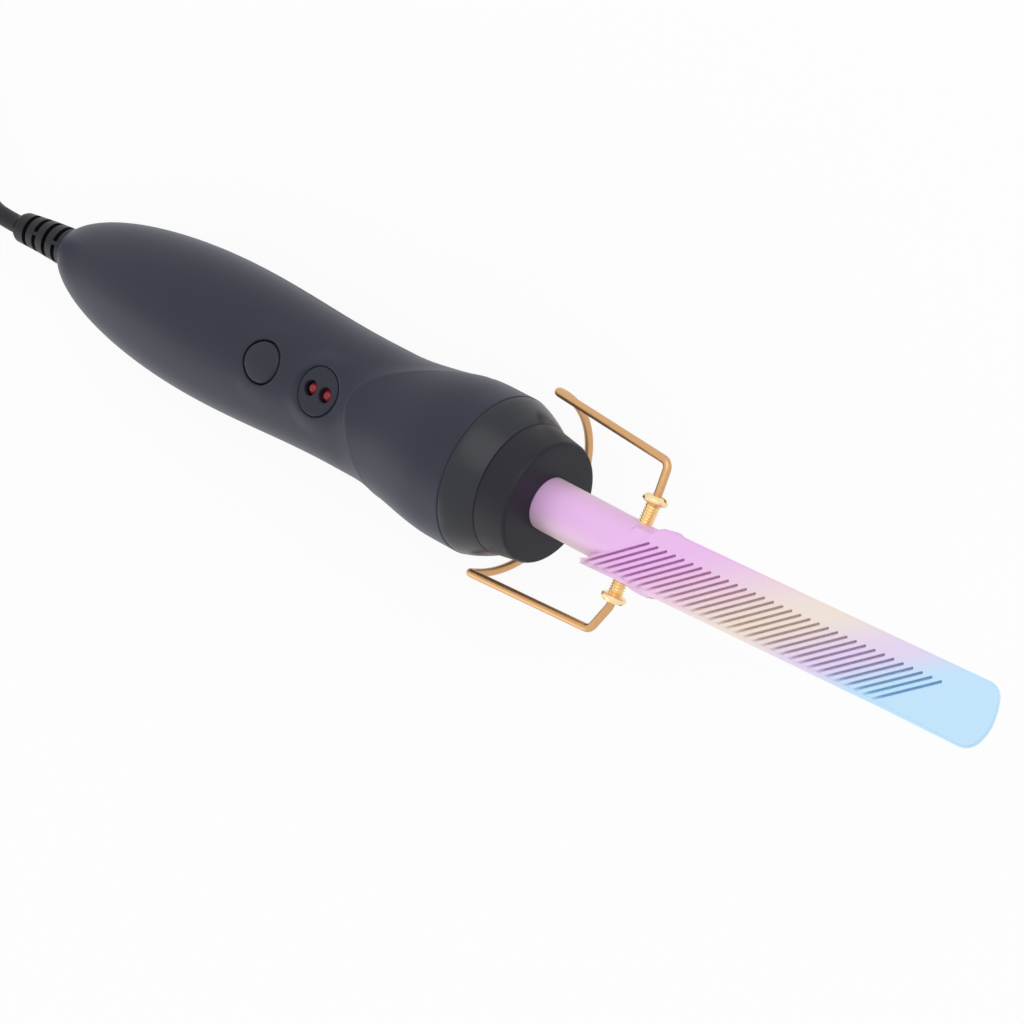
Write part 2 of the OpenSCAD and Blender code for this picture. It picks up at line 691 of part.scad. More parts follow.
// Half space beyond a plane that leans in below, at plan angle a through [x, y] on the flat.
module undercut(x, y, a, lean) {
    translate([x, y, flat_z]) rotate([0, 0, a]) rotate([0, lean, 0])
        translate([0, -big / 2, -big / 2]) cube([big, big, big]);
}
tooth_bevel = teeth_y - flat_y;
module blade() {
    difference() {
        translate([0, 0, flat_z - blade_t]) linear_extrude(blade_t) polygon(blade_plan);
        undercut(tip_x + 0.3, bow_y, 0, 45);
        for (way = [-1, 1]) undercut(tip_x - 2, bow_y + way * 7.2, way * 45, 45);
        translate([0, -flat_y, flat_z]) rotate([45, 0, 0])
            translate([-big / 2, -big, 0]) cube([big, big, big]);
    }
}
keel_end_r = 3.2;
keel_end_x = tip_x - 12;
keel_front = bore_end + 4;
module keel() {
    turned([[0, keel_front - 12], [shank_r, keel_front - 12], [shank_r, keel_front],
        [keel_end_r, keel_end_x], [0, keel_end_x]]);
}
module keel_lift() {
    lift = atan((shank_r - keel_end_r) / (keel_end_x - keel_front));
    intersection() {
        translate([keel_front, 0, 0]) rotate([0, -lift, 0]) translate([-keel_front, 0, 0]) keel();
        box([0, big], [-big, big], [-big, flat_z - 1]);
    }
}
slot_fall = 7.5;                   // how steeply the slots' floor falls to the tooth edge
module slot_cut(x) {
    reach = (teeth_y + slot_in) / sin(slot_turn) + 4;
    translate([x, slot_in, flat_z - slot_depth]) rotate([0, 0, -180 + slot_turn])
        rotate([0, slot_fall, 0]) translate([0, -slot_w / 2, 0]) cube([reach, slot_w, 8]);
}
module yawed() {
    translate([blade_turn_x, 0, 0]) rotate([0, 0, blade_yaw]) translate([-blade_turn_x, 0, 0])
        children();
}
module comb() {
    color("#e8c8ea") resting() difference() {
        union() {
            rod_x(shank_r, shank_rear, bore_end + 4);
            intersection() {
                turned([[shank_r - 1, knuckle_x - knuckle_half],
                    for (a = [0 : 15 : 180]) [shank_r - 0.5 + (knuckle_r - shank_r + 0.5) * sin(a),
                        knuckle_x - knuckle_half * cos(a)],
                    [shank_r - 1, knuckle_x + knuckle_half]]);
                box([0, big], [-big, shank_r - 0.8], [-big, flat_z - 0.6]);
            }
            yawed() union() { blade(); keel_lift(); }
        }
        rod_x(bore_r, shank_rear - 1, bore_end);
        ring_x(shank_r + 1, shank_groove_r, flange_rear - 0.02, -spigot_back + 0.02);
        translate([set_screw_x, 0, 0]) rod_y(set_screw_r + fit, -12, 12);
        translate([pivot_x, 0, 0]) rod_y(pivot_screw_r + fit, -9, 9);
        yawed() for (i = [0 : slots - 1]) slot_cut(slot_first_x + slot_pitch * i);
    }
}

// ---- Heater ----
sleeve_r = bore_r - fit;
module heater_sleeve() {
    color("#ece7da") resting() ring_x(sleeve_r, element_r + seat, element_x - 1.5, bore_end - 0.5);
}
module heating_element() {
    color("#8c8f94") resting() rod_x(element_r, element_x, element_x + element_l);
}
set_screw_l = 2.6;
module set_screws() {
    color("#5a5c60") resting() for (way = [-1, 1]) translate([set_screw_x, 0, 0]) difference() {
        rotate([way > 0 ? 0 : 180, 0, 0]) rod_y(set_screw_r, bore_r + fit, bore_r + fit + set_screw_l);
        rotate([way > 0 ? -90 : 90, 0, 0]) translate([0, 0, bore_r + 1])
            cylinder(r = 1, h = set_screw_l, $fn = 6);
    }
}

// ---- Stand ----
screw_in = bore_r + 0.4;           // inner end of a pivot screw
journal_in = screw_in + 3;         // inner end of the wire's journal
screw_out = pivot_head_y + pivot_head_t;
thread_pitch = 0.7;
thread_depth = 0.28;
threads = floor((pivot_head_y - screw_in - 0.6) / thread_pitch);
module pivot_screw(way) {
    r = pivot_screw_r;
    head_r = pivot_head_r;
    thread = [for (i = [0 : threads - 1]) let (y = screw_in + 0.5 + thread_pitch * i)
        each [[r - thread_depth, y], [r, y + 0.25], [r, y + 0.4], [r - thread_depth, y + 0.65]]];
    head = [[r - thread_depth, pivot_head_y], [head_r - 0.3, pivot_head_y],
        [head_r, pivot_head_y + 0.35], [head_r, pivot_head_y + 0.9],
        [head_r - 0.7, screw_out - 0.15], [head_r - 1.2, screw_out], [0, screw_out]];
    color("#e0b45a") resting() translate([pivot_x, 0, 0]) rotate([way > 0 ? -90 : 90, 0, 0])
        difference() {
            rotate_extrude()
                polygon(concat([[0, screw_in], [r - thread_depth, screw_in]], thread, head));
            translate([0, 0, journal_in - 0.3]) cylinder(r = wire_r + fit, h = 20);
            translate([-head_r - 1, -0.4, screw_out - 0.7]) cube([2 * head_r + 2, 0.8, 2]);
        }
}
module pivot_screw_left() { pivot_screw(1); }
module pivot_screw_right() { pivot_screw(-1); }

// One side of the wire, in the stand's own frame: the journal along +Y, a slight kink outside
// the screw's head, the corner, and the arm to its end at foot.
bead_r = wire_r + 0.04;            // the wire is that much fuller where two of its lengths meet
break = 0.02;                      // distance between them inside that bead
kink_y = screw_out + 1;
module wire_between(a, b) {
    translate(a) rotate([0, 0, atan2(b[1] - a[1], b[0] - a[0])]) rod_x(wire_r, break, norm(b - a) - break);
}
module stand_side(lean, foot) {
    kink = [0, kink_y, 0];
    peak = [-lean, pivot_half, 0];
    out = unit(peak - kink);
    back = unit(foot - peak);
    corner = acos(out * back);
    cut = wire_bend * tan(corner / 2);
    wire_between([0, journal_in, 0], kink);
    wire_between(kink, peak - cut * out);
    translate(peak - cut * out + wire_bend * [-out[1], out[0], 0]) rotate([0, 0, atan2(-out[0], out[1])])
        rotate_extrude(angle = corner) translate([wire_bend, 0, 0]) circle(r = wire_r);
    wire_between(peak + cut * back, foot);
    for (at = [kink, peak - cut * out, peak + cut * back, foot]) translate(at) sphere(r = bead_r);
}
module stand_wire() {
    across = foot_half * cos(foot_skew);
    along = foot_half * sin(foot_skew);
    color("#c8955a") resting() translate([pivot_x, 0, 0]) rotate([0, -stand_slope, 0]) union() {
        stand_side(lean_left, [-stand_l + along, across, 0]);
        mirror([0, 1, 0]) stand_side(lean_right, [-stand_l - along, across, 0]);
        translate([-stand_l, 0, 0]) rotate([0, 0, -foot_skew]) rotate([0, 90, 0]) rotate([0, 0, -90])
            rotate_extrude(angle = 180) translate([foot_half, 0, 0]) circle(r = wire_r);
    }
}

// ---- Mains cord, in the resting frame: the floor is z = 0 ----
exit_point = placed([-handle_l - relief_l, 0, 0]);
exit_way = [-cos(tilt), 0, -sin(tilt)];
coil_at = [-225, -15];
coil_layers = 4;
coil_out_r = 33.2;                 // outermost turn, at the cord's middle
coil_in_r = 22.6;                  // innermost turn
tie_t = 0.8;
lead_route = [[-166, 0.2, 10.98], [-172, 0.8, 9.21], [-178, 1.8, 7.1], [-184, 3.3, 5.09],
    [-190, 5.2, 3.64], [-196, 7.55, 3.2], [-202, 10.3, 3.2], [-208.4, 13.75, 3.2]];
// The tail lies on the coil and climbs to the plug, which lies on the coil's ties.
tail_route = [[-216.4, -47.07, 18.05], [-208.4, -43.75, 19.05], [-201.5, -38.48, 20.3],
    [-196.25, -31.6, 21.5], [-192.9, -23.6, 22.6], [-191.8, -15, 23.6], [-193.5, -6.47, 24.7],
    [-198.33, 0.77, 25.8], [-205.57, 5.6, 26.8], [-213.32, 7.29, 27.5], [-221.3, 7.3, 27.8]];
module mains_cord() {
    color("#1c1d20") tube(curve(concat([exit_point, exit_point + 3 * exit_way], lead_route), 2), cord_r);
}
module plug_lead() {
    color("#1c1d20") tube(curve(tail_route, 2), cord_r);
}
coil_h = coil_layers * cord_d;
module cord_coil() {
    r0 = coil_in_r - cord_r;
    r1 = coil_out_r + cord_r;
    round_r = cord_r;
    function corner_arc(r, z, a) = arc_points(r, z, round_r, a, a + 90, 4);
    color("#1c1d20") translate([coil_at[0], coil_at[1], tie_t]) rotate_extrude() polygon(concat(
        corner_arc(r1 - round_r, coil_h - round_r, 0), corner_arc(r0 + round_r, coil_h - round_r, 90),
        corner_arc(r0 + round_r, round_r, 180), corner_arc(r1 - round_r, round_r, 270)));
}
tie_turn = 14;                     // how much of the coil's circle a tie covers
module cord_tie() {
    r0 = coil_in_r - cord_r - seat;
    r1 = coil_out_r + cord_r + seat;
    color("#303136") translate([coil_at[0], coil_at[1], 0]) for (a = [120, 230]) rotate([0, 0, a])
        rotate_extrude(angle = tie_turn) difference() {
            translate([r0 - tie_t, 0]) square([r1 - r0 + 2 * tie_t, coil_h + seat + 2 * tie_t]);
            translate([r0, tie_t]) square([r1 - r0, coil_h + seat]);
        }
}

// ---- Plug: two round pins along -X, lying on its broad side on the ties ----
boot_l = 10;
plug_at = [-221.3 - boot_l - plug_l, 7.3, coil_h + 2 * tie_t + 2 * seat];   // bottom of its face
sleeve_l = 10;                     // insulated length of a pin
pin_root = 6;                      // length of a pin inside the body
pin_core_r = pin_r - 0.5;
sleeve_root_r = pin_r + 0.4;       // the sleeve's collar inside the body
module plugged() {
    translate(plug_at) rotate([0, 0, -90]) children();
}
// A pin's place: its axis points out of the plug's face.
module each_pin() {
    for (side = [-1, 1]) translate([side * pin_pitch / 2, 0, plug_h / 2]) rotate([90, 0, 0]) children();
}
module plug_body() {
    w = plug_w / 2;
    color("#1d1e21") plugged() difference() {
        union() {
            linear_extrude(plug_h) polygon([[-w + 1, 0],
                [w - 1, 0], [w, 1], [w, 11], [w - 4, 17], [w - 7, 27], [6.5, plug_l], [-6.5, plug_l],
                [7 - w, 27], [4 - w, 17], [-w, 11], [-w, 1]]);
            translate([0, plug_l, plug_h / 2]) rotate([-90, 0, 0])
                cylinder(r1 = 4.6, r2 = 3.4, h = boot_l);
        }
        each_pin() translate([0, 0, -pin_root - fit])
            cylinder(r = sleeve_root_r + fit, h = pin_root + fit + 1);
    }
}
module plug_pins() {
    color("#c9a44c") plugged() each_pin()
        rotate_extrude() polygon([[0, -pin_root], [pin_core_r, -pin_root], [pin_core_r, sleeve_l],
            [pin_r, sleeve_l], [pin_r, pin_l - 1.2], [pin_r - 0.5, pin_l - 0.4],
            [pin_r - 1.2, pin_l], [0, pin_l]]);
}
module pin_sleeves() {
    color("#1a1b1d") plugged() each_pin()
        rotate_extrude() polygon([[pin_core_r + fit, -pin_root], [sleeve_root_r, -pin_root],
            [sleeve_root_r, 0], [pin_r, 0], [pin_r, sleeve_l], [pin_core_r + fit, sleeve_l]]);
}

upper_shell();
lower_shell();
collar_ring();
nose_cap();
nose_bush();
shank_flange();
flange_screws();
case_screws();
power_button();
switch_plunger();
switch_body();
lamp_panel();
low_heat_lamp();
high_heat_lamp();
circuit_board();
board_screws();
control_chip();
heater_triac();
dropper_capacitor();
filter_capacitor();
board_resistors();
mains_fuse();
cord_clamp();
clamp_screws();
inner_cord();
mains_leads();
heater_leads();
thermal_fuse();
strain_relief();
comb();
heating_element();
heater_sleeve();
set_screws();
pivot_screw_left();
pivot_screw_right();
stand_wire();
mains_cord();
cord_coil();
cord_tie();
plug_lead();
plug_body();
plug_pins();
pin_sleeves();
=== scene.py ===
"""Electric hot comb on its handle and folded wire stand. Pieces are built in millimetres in the
comb's own frame (x along the comb from the nose face, z through the button, teeth towards -y)
and laid to rest by REST; the cord and the plug are built in the row's frame."""
import math

import bmesh
import bpy
from mathutils import Matrix, Vector


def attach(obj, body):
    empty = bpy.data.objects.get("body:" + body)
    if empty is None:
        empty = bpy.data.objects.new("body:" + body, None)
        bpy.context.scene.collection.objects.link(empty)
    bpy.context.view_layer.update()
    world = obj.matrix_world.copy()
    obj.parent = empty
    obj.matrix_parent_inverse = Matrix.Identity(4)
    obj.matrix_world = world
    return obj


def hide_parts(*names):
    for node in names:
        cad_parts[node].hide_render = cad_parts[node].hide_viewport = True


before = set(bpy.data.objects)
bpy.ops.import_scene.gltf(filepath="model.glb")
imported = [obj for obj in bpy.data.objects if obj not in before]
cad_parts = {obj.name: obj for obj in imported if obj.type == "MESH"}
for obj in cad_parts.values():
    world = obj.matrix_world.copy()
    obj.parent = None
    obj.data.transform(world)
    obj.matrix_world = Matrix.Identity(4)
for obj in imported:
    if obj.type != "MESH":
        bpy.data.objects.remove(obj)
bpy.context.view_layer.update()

MM = 0.001
TILT = math.radians(5.343815)
SHIFT = (25.873458, 0, 28.648891)
ROW = Matrix.Scale(MM, 4)
REST = ROW @ Matrix.Translation(SHIFT) @ Matrix.Rotation(-TILT, 4, "Y")


# ---------------------------------------------------------------- camera
def unit(v):
    return Vector(v).normalized()


PHOTO_PX, FOCAL_PX, SENSOR = 1024, 4515, 36
DISTANCE = 1029


def camera():
    """The photograph's view, fitted to the comb's outline: the picture's right and up, how far
    its middle lies along them from the nose face, and a last small turn and shift."""
    right = unit((0.720, 0.382, -0.578))
    up = Vector((-0.377, 0.916, 0.1355))
    up = unit(up - right * up.dot(right))
    back = right.cross(up)
    aim = (right * -8.72 + up * -2.07) * 0.98
    axes = Matrix((right, up, back)).transposed().to_4x4()
    adjust = Matrix.Rotation(0.0095, 4, "Z") @ Matrix.Translation((0, 0.15, 0))
    place = adjust @ Matrix.Translation(aim + back * DISTANCE) @ axes
    data = bpy.data.cameras.new("camera")
    data.sensor_width = SENSOR
    data.lens = FOCAL_PX * SENSOR / PHOTO_PX
    data.clip_start, data.clip_end = 0.05, 20
    cam = bpy.data.objects.new("camera", data)
    bpy.context.scene.collection.objects.link(cam)
    world = REST @ place
    turn = world.to_3x3().normalized().to_quaternion()
    cam.matrix_world = Matrix.LocRotScale(world.translation, turn, None)
    bpy.context.scene.camera = cam


camera()


# ---------------------------------------------------------------- materials
def material(name, color, rough=0.5, metal=0.0, grain=1.0, bump=0.0, vary=0.06, coat=0.0,
             spec=0.5, sheen=0.0):
    """A Principled material whose colour, roughness and surface come from noise at grain mm."""
    m = bpy.data.materials.new(name)
    m.use_nodes = True
    nt = m.node_tree
    bsdf = nt.nodes["Principled BSDF"]
    bsdf.inputs["Metallic"].default_value = metal
    bsdf.inputs["Coat Weight"].default_value = coat
    bsdf.inputs["Specular IOR Level"].default_value = spec
    bsdf.inputs["Sheen Weight"].default_value = sheen
    bsdf.inputs["Sheen Roughness"].default_value = 0.35
    bsdf.inputs["Sheen Tint"].default_value = (0.75, 0.8, 1.0, 1)
    co = nt.nodes.new("ShaderNodeTexCoord")
    noise = nt.nodes.new("ShaderNodeTexNoise")
    noise.inputs["Scale"].default_value = 1000 / grain
    noise.inputs["Detail"].default_value = 3
    nt.links.new(co.outputs["Object"], noise.inputs["Vector"])
    tint = nt.nodes.new("ShaderNodeMix")
    tint.data_type = "RGBA"
    tint.inputs["A"].default_value = [c * (1 - vary) for c in color] + [1]
    tint.inputs["B"].default_value = [min(1, c * (1 + vary)) for c in color] + [1]
    nt.links.new(noise.outputs["Fac"], tint.inputs["Factor"])
    nt.links.new(tint.outputs["Result"], bsdf.inputs["Base Color"])
    span = nt.nodes.new("ShaderNodeMapRange")
    span.inputs["To Min"].default_value = max(0.02, rough - 0.05)
    span.inputs["To Max"].default_value = min(1, rough + 0.05)
    nt.links.new(noise.outputs["Fac"], span.inputs["Value"])
    nt.links.new(span.outputs["Result"], bsdf.inputs["Roughness"])
    if bump:
        b = nt.nodes.new("ShaderNodeBump")
        b.inputs["Strength"].default_value = bump
        b.inputs["Distance"].default_value = 0.02 * MM
        nt.links.new(noise.outputs["Fac"], b.inputs["Height"])
        nt.links.new(b.outputs["Normal"], bsdf.inputs["Normal"])
    return m


SHELL = material("soft_touch", (0.026, 0.0285, 0.0445), 0.43, grain=0.3, bump=0.25, vary=0.05,
                 spec=0.25, sheen=0.12)
COLLAR = material("collar_black", (0.016, 0.017, 0.024), 0.33, grain=0.3, bump=0.2, spec=0.4, sheen=0.05)
NOSE = material("nose_charcoal", (0.015, 0.014, 0.021), 0.45, grain=0.35, bump=0.25, spec=0.25)
BUTTON = material("button_black", (0.027, 0.030, 0.042), 0.42, grain=0.3, bump=0.15, spec=0.25)
PANEL = material("panel_black", (0.022, 0.024, 0.036), 0.42, grain=0.3, bump=0.1, spec=0.25)
RUBBER = material("relief_rubber", (0.008, 0.0085, 0.011), 0.42, grain=0.4, bump=0.3, spec=0.3)
CORD = material("cord_jacket", (0.012, 0.0125, 0.015), 0.48, grain=0.6, bump=0.25, spec=0.3)
PLUG = material("plug_moulding", (0.014, 0.0145, 0.017), 0.46, grain=0.5, bump=0.3, spec=0.3)
TIE = material("tie_strap", (0.05, 0.05, 0.056), 0.6, grain=0.5, bump=0.4, vary=0.15)
BRASS = material("screw_brass", (0.96, 0.75, 0.41), 0.24, metal=0.9, grain=0.8, bump=0.05)
WIRE = material("wire_copper_gold", (0.68, 0.39, 0.18), 0.32, metal=0.8, grain=1.5, bump=0.02, vary=0.06)
STEEL = material("zinc_steel", (0.6, 0.6, 0.62), 0.35, metal=1.0, grain=1.0)
DARK_STEEL = material("black_oxide", (0.08, 0.08, 0.09), 0.4, metal=0.9, grain=0.5)
CERAMIC = material("ceramic", (0.78, 0.75, 0.68), 0.6, grain=0.6, bump=0.1)
BOARD = material("solder_mask", (0.03, 0.17, 0.07), 0.35, grain=3, vary=0.2, coat=0.3)
CHIP = material("chip_epoxy", (0.02, 0.02, 0.022), 0.5, grain=0.4, bump=0.2)
FILM = material("capacitor_box", (0.5, 0.24, 0.05), 0.35, grain=2)
SLEEVE = material("can_sleeve", (0.02, 0.04, 0.14), 0.3, grain=2)
RESISTOR = material("resistor_lacquer", (0.55, 0.38, 0.2), 0.4, grain=1)
INSULATION = material("lead_insulation", (0.25, 0.1, 0.03), 0.4, grain=1)
GLASSFIBRE = material("glassfibre_sleeve", (0.7, 0.67, 0.56), 0.75, grain=0.3, bump=0.5, vary=0.15)
PIN = material("pin_nickel", (0.78, 0.68, 0.5), 0.22, metal=1.0, grain=1.0)


def lens_red():
    m = material("lamp_red", (0.24, 0.018, 0.022), 0.28, grain=0.5, vary=0.12, coat=0.15, spec=0.3)
    b = m.node_tree.nodes["Principled BSDF"]
    b.inputs["Emission Color"].default_value = (0.8, 0.05, 0.06, 1)
    b.inputs["Emission Strength"].default_value = 0.04
    return m


def measured(nt, way, lo, hi):
    """How far a point lies along way, from 0 at lo to 1 at hi: comb's own frame, millimetres."""
    turned = REST.to_3x3().normalized() @ Vector(way)
    start = turned.dot(Vector(SHIFT))
    co = nt.nodes.new("ShaderNodeTexCoord")
    dot = nt.nodes.new("ShaderNodeVectorMath")
    dot.operation = "DOT_PRODUCT"
    dot.inputs[1].default_value = turned
    nt.links.new(co.outputs["Object"], dot.inputs[0])
    span = nt.nodes.new("ShaderNodeMapRange")
    span.inputs["From Min"].default_value = (lo + start) * MM
    span.inputs["From Max"].default_value = (hi + start) * MM
    nt.links.new(dot.outputs["Value"], span.inputs["Value"])
    return span.outputs["Result"]


# The comb's coating from the shank to the tip, and painted shade on the shank's underside towards the
# nose.
PINK, CREAM = (0.90, 0.54, 0.88), (0.93, 0.81, 0.71)
LILAC, PALE_BLUE = (0.84, 0.71, 0.90), (0.58, 0.83, 1.0)
# Painted shade: a greyer cream for the shank's underside towards the nose.
SHADED_SHANK_CREAM = (0.78, 0.60, 0.64, 1)


def iridescent():
    """The comb's interference coating: pink, cream and pale blue slanting along the blade, and
    painted shade: a greyer cream on the shank's underside towards the nose."""
    m = material("comb_coating", (0.8, 0.6, 0.8), 0.45, metal=0.15, grain=0.5, bump=0.06, vary=0.02)
    nt = m.node_tree
    bsdf = nt.nodes["Principled BSDF"]
    ramp = nt.nodes.new("ShaderNodeValToRGB")
    ramp.color_ramp.interpolation = "EASE"
    stops = ((0.13, PINK), (0.53, CREAM), (0.74, LILAC), (0.90, PALE_BLUE))
    while len(ramp.color_ramp.elements) < len(stops):
        ramp.color_ramp.elements.new(0.5)
    for e, (p, c) in zip(ramp.color_ramp.elements, stops):
        e.position, e.color = p, (*c, 1)
    nt.links.new(measured(nt, (1.0653, -1.662, 0), 21.86, 121.86), ramp.inputs["Fac"])
    # Painted shade: the shank's underside towards the nose is mixed to a greyer cream.
    low = nt.nodes.new("ShaderNodeMix")
    low.data_type = "RGBA"
    low.inputs["B"].default_value = SHADED_SHANK_CREAM
    both = nt.nodes.new("ShaderNodeMath")
    both.operation = "MULTIPLY"
    nt.links.new(measured(nt, (0, -0.35, -0.94), -5.95, -1.65), both.inputs[0])
    nt.links.new(measured(nt, (-1, 0, 0), -32, -14), both.inputs[1])
    nt.links.new(both.outputs[0], low.inputs["Factor"])
    nt.links.new(ramp.outputs["Color"], low.inputs["A"])
    nt.links.new(low.outputs["Result"], bsdf.inputs["Base Color"])
    return m


LENS = lens_red()
COMB = iridescent()


# ---------------------------------------------------------------- mesh helpers
def smooth(mesh, sharp):
    """Shades a mesh smooth, with its edges sharper than sharp degrees kept crisp."""
    bm = bmesh.new()
    bm.from_mesh(mesh)
    bmesh.ops.recalc_face_normals(bm, faces=bm.faces)
    limit = math.radians(sharp)
    for f in bm.faces:
        f.smooth = True
    for e in bm.edges:
        e.smooth = len(e.link_faces) != 2 or e.calc_face_angle(0) < limit
    bm.to_mesh(mesh)
    bm.free()


def add(name, verts, faces, mat, body="handle", replace=(), place=REST, sharp=35):
    mesh = bpy.data.meshes.new(name)
    mesh.from_pydata([place @ Vector(v) for v in verts], [], faces)
    mesh.validate()
    smooth(mesh, sharp)
    mesh.materials.append(mat)
    o = bpy.data.objects.new(name, mesh)
    bpy.context.scene.collection.objects.link(o)
    return settle(o, body, replace)


def settle(o, body, replace):
    if body:
        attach(o, body)
    if replace:
        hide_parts(*replace)
    return o


def rounded(points, steps=5):
    """A closed outline of (a, b, radius) corners with each corner rounded to its radius."""
    out = []
    n = len(points)
    for i in range(n):
        p = Vector(points[i][:2])
        r = points[i][2] if len(points[i]) > 2 else 0
        if not r:
            out.append(tuple(p))
            continue
        a = Vector(points[i - 1][:2]) - p
        b = Vector(points[(i + 1) % n][:2]) - p
        half = a.angle(b) / 2
        cut = min(r / math.tan(half), a.length * 0.48, b.length * 0.48)
        r = cut * math.tan(half)
        mid = p + (a.normalized() + b.normalized()).normalized() * (r / math.sin(half))
        s = p + a.normalized() * cut - mid
        e = p + b.normalized() * cut - mid
        sweep = s.angle_signed(e)
        for k in range(steps + 1):
            t = -sweep * k / steps
            out.append((mid.x + s.x * math.cos(t) - s.y * math.sin(t),
                        mid.y + s.x * math.sin(t) + s.y * math.cos(t)))
    return out


def lathe(outline, sides=128, axis="x"):
    """Vertices and faces of a closed outline of (along, radius) points turned about an axis."""
    verts, faces = [], []
    n = len(outline)
    for k in range(sides):
        c, s = math.cos(math.tau * k / sides), math.sin(math.tau * k / sides)
        for a, r in outline:
            verts.append({"x": (a, r * c, r * s), "y": (r * c, a, r * s), "z": (r * c, r * s, a)}[axis])
    for k in range(sides):
        for i in range(n):
            j = (i + 1) % n
            m = (k + 1) % sides
            faces.append((k * n + i, k * n + j, m * n + j, m * n + i))
    return verts, faces


def sweep(path, radius, sides=20):
    """A closed tube along a path of points, its rings turned as little as possible."""
    pts = [Vector(p) for p in path]
    verts, faces = [], []
    d = (pts[1] - pts[0]).normalized()
    side = d.orthogonal().normalized()
    for i, p in enumerate(pts):
        a = (pts[min(i + 1, len(pts) - 1)] - pts[max(i - 1, 0)]).normalized()
        side = (side - a * side.dot(a)).normalized()
        top = a.cross(side)
        for k in range(sides):
            t = math.tau * k / sides
            verts.append(p + (side * math.cos(t) + top * math.sin(t)) * radius)
    for i in range(len(pts) - 1):
        for k in range(sides):
            m = (k + 1) % sides
            faces.append((i * sides + k, i * sides + m, (i + 1) * sides + m, (i + 1) * sides + k))
    faces.append(tuple(range(sides))[::-1])
    faces.append(tuple((len(pts) - 1) * sides + k for k in range(sides)))
    return verts, faces


def cut(target, cutters, op="DIFFERENCE"):
    """Applies a boolean of each cutter to the target's mesh, and drops the cutters."""
    for c in cutters:
        mod = target.modifiers.new("cut", "BOOLEAN")
        mod.operation, mod.solver, mod.object = op, "EXACT", c
    bpy.context.view_layer.update()
    mesh = bpy.data.meshes.new_from_object(target.evaluated_get(bpy.context.evaluated_depsgraph_get()))
    old = target.data
    target.modifiers.clear()
    target.data = mesh
    bpy.data.meshes.remove(old)
    for c in cutters:
        bpy.data.objects.remove(c)
    return target


def scratch(verts, faces):
    """An object that only serves a boolean: local millimetres, no body."""
    mesh = bpy.data.meshes.new("scratch")
    mesh.from_pydata([tuple(v) for v in verts], [], faces)
    bm = bmesh.new()
    bm.from_mesh(mesh)
    bmesh.ops.recalc_face_normals(bm, faces=bm.faces)
    bm.to_mesh(mesh)
    bm.free()
    o = bpy.data.objects.new("scratch", mesh)
    bpy.context.scene.collection.objects.link(o)
    return o


def adopt(o, name, mat, body="handle", replace=(), place=REST, sharp=35, weighted=False):
    """Turns a scratch object into a piece."""
    o.name = o.data.name = name
    o.data.transform(place)
    smooth(o.data, sharp)
    o.data.materials.clear()
    o.data.materials.append(mat)
    if weighted:
        mod = o.modifiers.new("normals", "WEIGHTED_NORMAL")
        mod.keep_sharp = True
    return settle(o, body, replace)


def prism(outline, z0, z1):
    n = len(outline)
    verts = [(x, y, z) for z in (z0, z1) for x, y in outline]
    faces = [tuple(range(n))[::-1], tuple(range(n, 2 * n))]
    faces += [(i, (i + 1) % n, n + (i + 1) % n, n + i) for i in range(n)]
    return verts, faces


# ---------------------------------------------------------------- mains cord
# In the row's frame: the cord's way from the relief down to the coil, and up to the plug.
CORD_R = 2.4
EXIT = (-156.331182, -0.8, 11.605734)
COIL = (-225, -15)
PLUG_FACE = (-265.3, 7.3, 21.0)
ROUTE = [EXIT, (-159.318143, -0.9, 11.326338), (-166, -0.5, 10.98), (-172, 0.8, 9.21), (-178, 1.8, 7.1),
         (-184, 3.3, 5.09), (-190, 5.2, 3.64), (-196, 7.55, 3.2), (-202, 10.3, 3.2), (-208.4, 13.75, 3.2)]
TAIL = [(-216.4, -47.07, 18.05), (-208.4, -43.75, 19.05), (-201.5, -38.48, 20.3), (-196.25, -31.6, 21.5),
        (-192.9, -23.6, 22.6), (-191.8, -15, 23.6), (-193.5, -6.47, 24.7), (-198.33, 0.77, 25.8),
        (-205.57, 5.6, 26.8), (-213.32, 7.29, 27.5), (-221.3, 7.3, 27.8)]


def spline(points, parts):
    """The same curve through the points as the CAD tube follows."""
    p = [Vector(q) for q in points]
    out = []
    for i in range(len(p) - 1):
        a, b, c, d = p[max(0, i - 1)], p[i], p[i + 1], p[min(len(p) - 1, i + 2)]
        for k in range(parts):
            t = k / parts
            out.append((2 * b + (c - a) * t + (2 * a - 5 * b + 4 * c - d) * t * t
                        + (3 * b - a - 3 * c + d) * t ** 3) / 2)
    return out + [p[-1]]


def coil():
    """Four layers of turns: in, up, out, up, in, up, out."""
    outer, inner, pitch, low = 33.2, 22.6, 4.8, 3.2
    turns = (outer - inner) / pitch
    out, angle, z = [], math.pi / 3, low
    for layer in range(4):
        r0, r1 = (outer, inner) if layer % 2 == 0 else (inner, outer)
        n = 84
        for k in range(n + 1):
            t = k / n
            a = angle + math.tau * turns * t
            r = r0 + (r1 - r0) * t
            out.append((COIL[0] + r * math.cos(a), COIL[1] + r * math.sin(a), z))
        angle += math.tau * turns
        if layer < 3:
            for k in range(1, 10):
                t = k / 10
                a = angle + math.pi / 2 * t
                rise = (1 - math.cos(math.pi * t)) / 2
                out.append((COIL[0] + r1 * math.cos(a), COIL[1] + r1 * math.sin(a), z + pitch * rise))
            angle += math.pi / 2
            z += pitch
    return [Vector(p) for p in out]


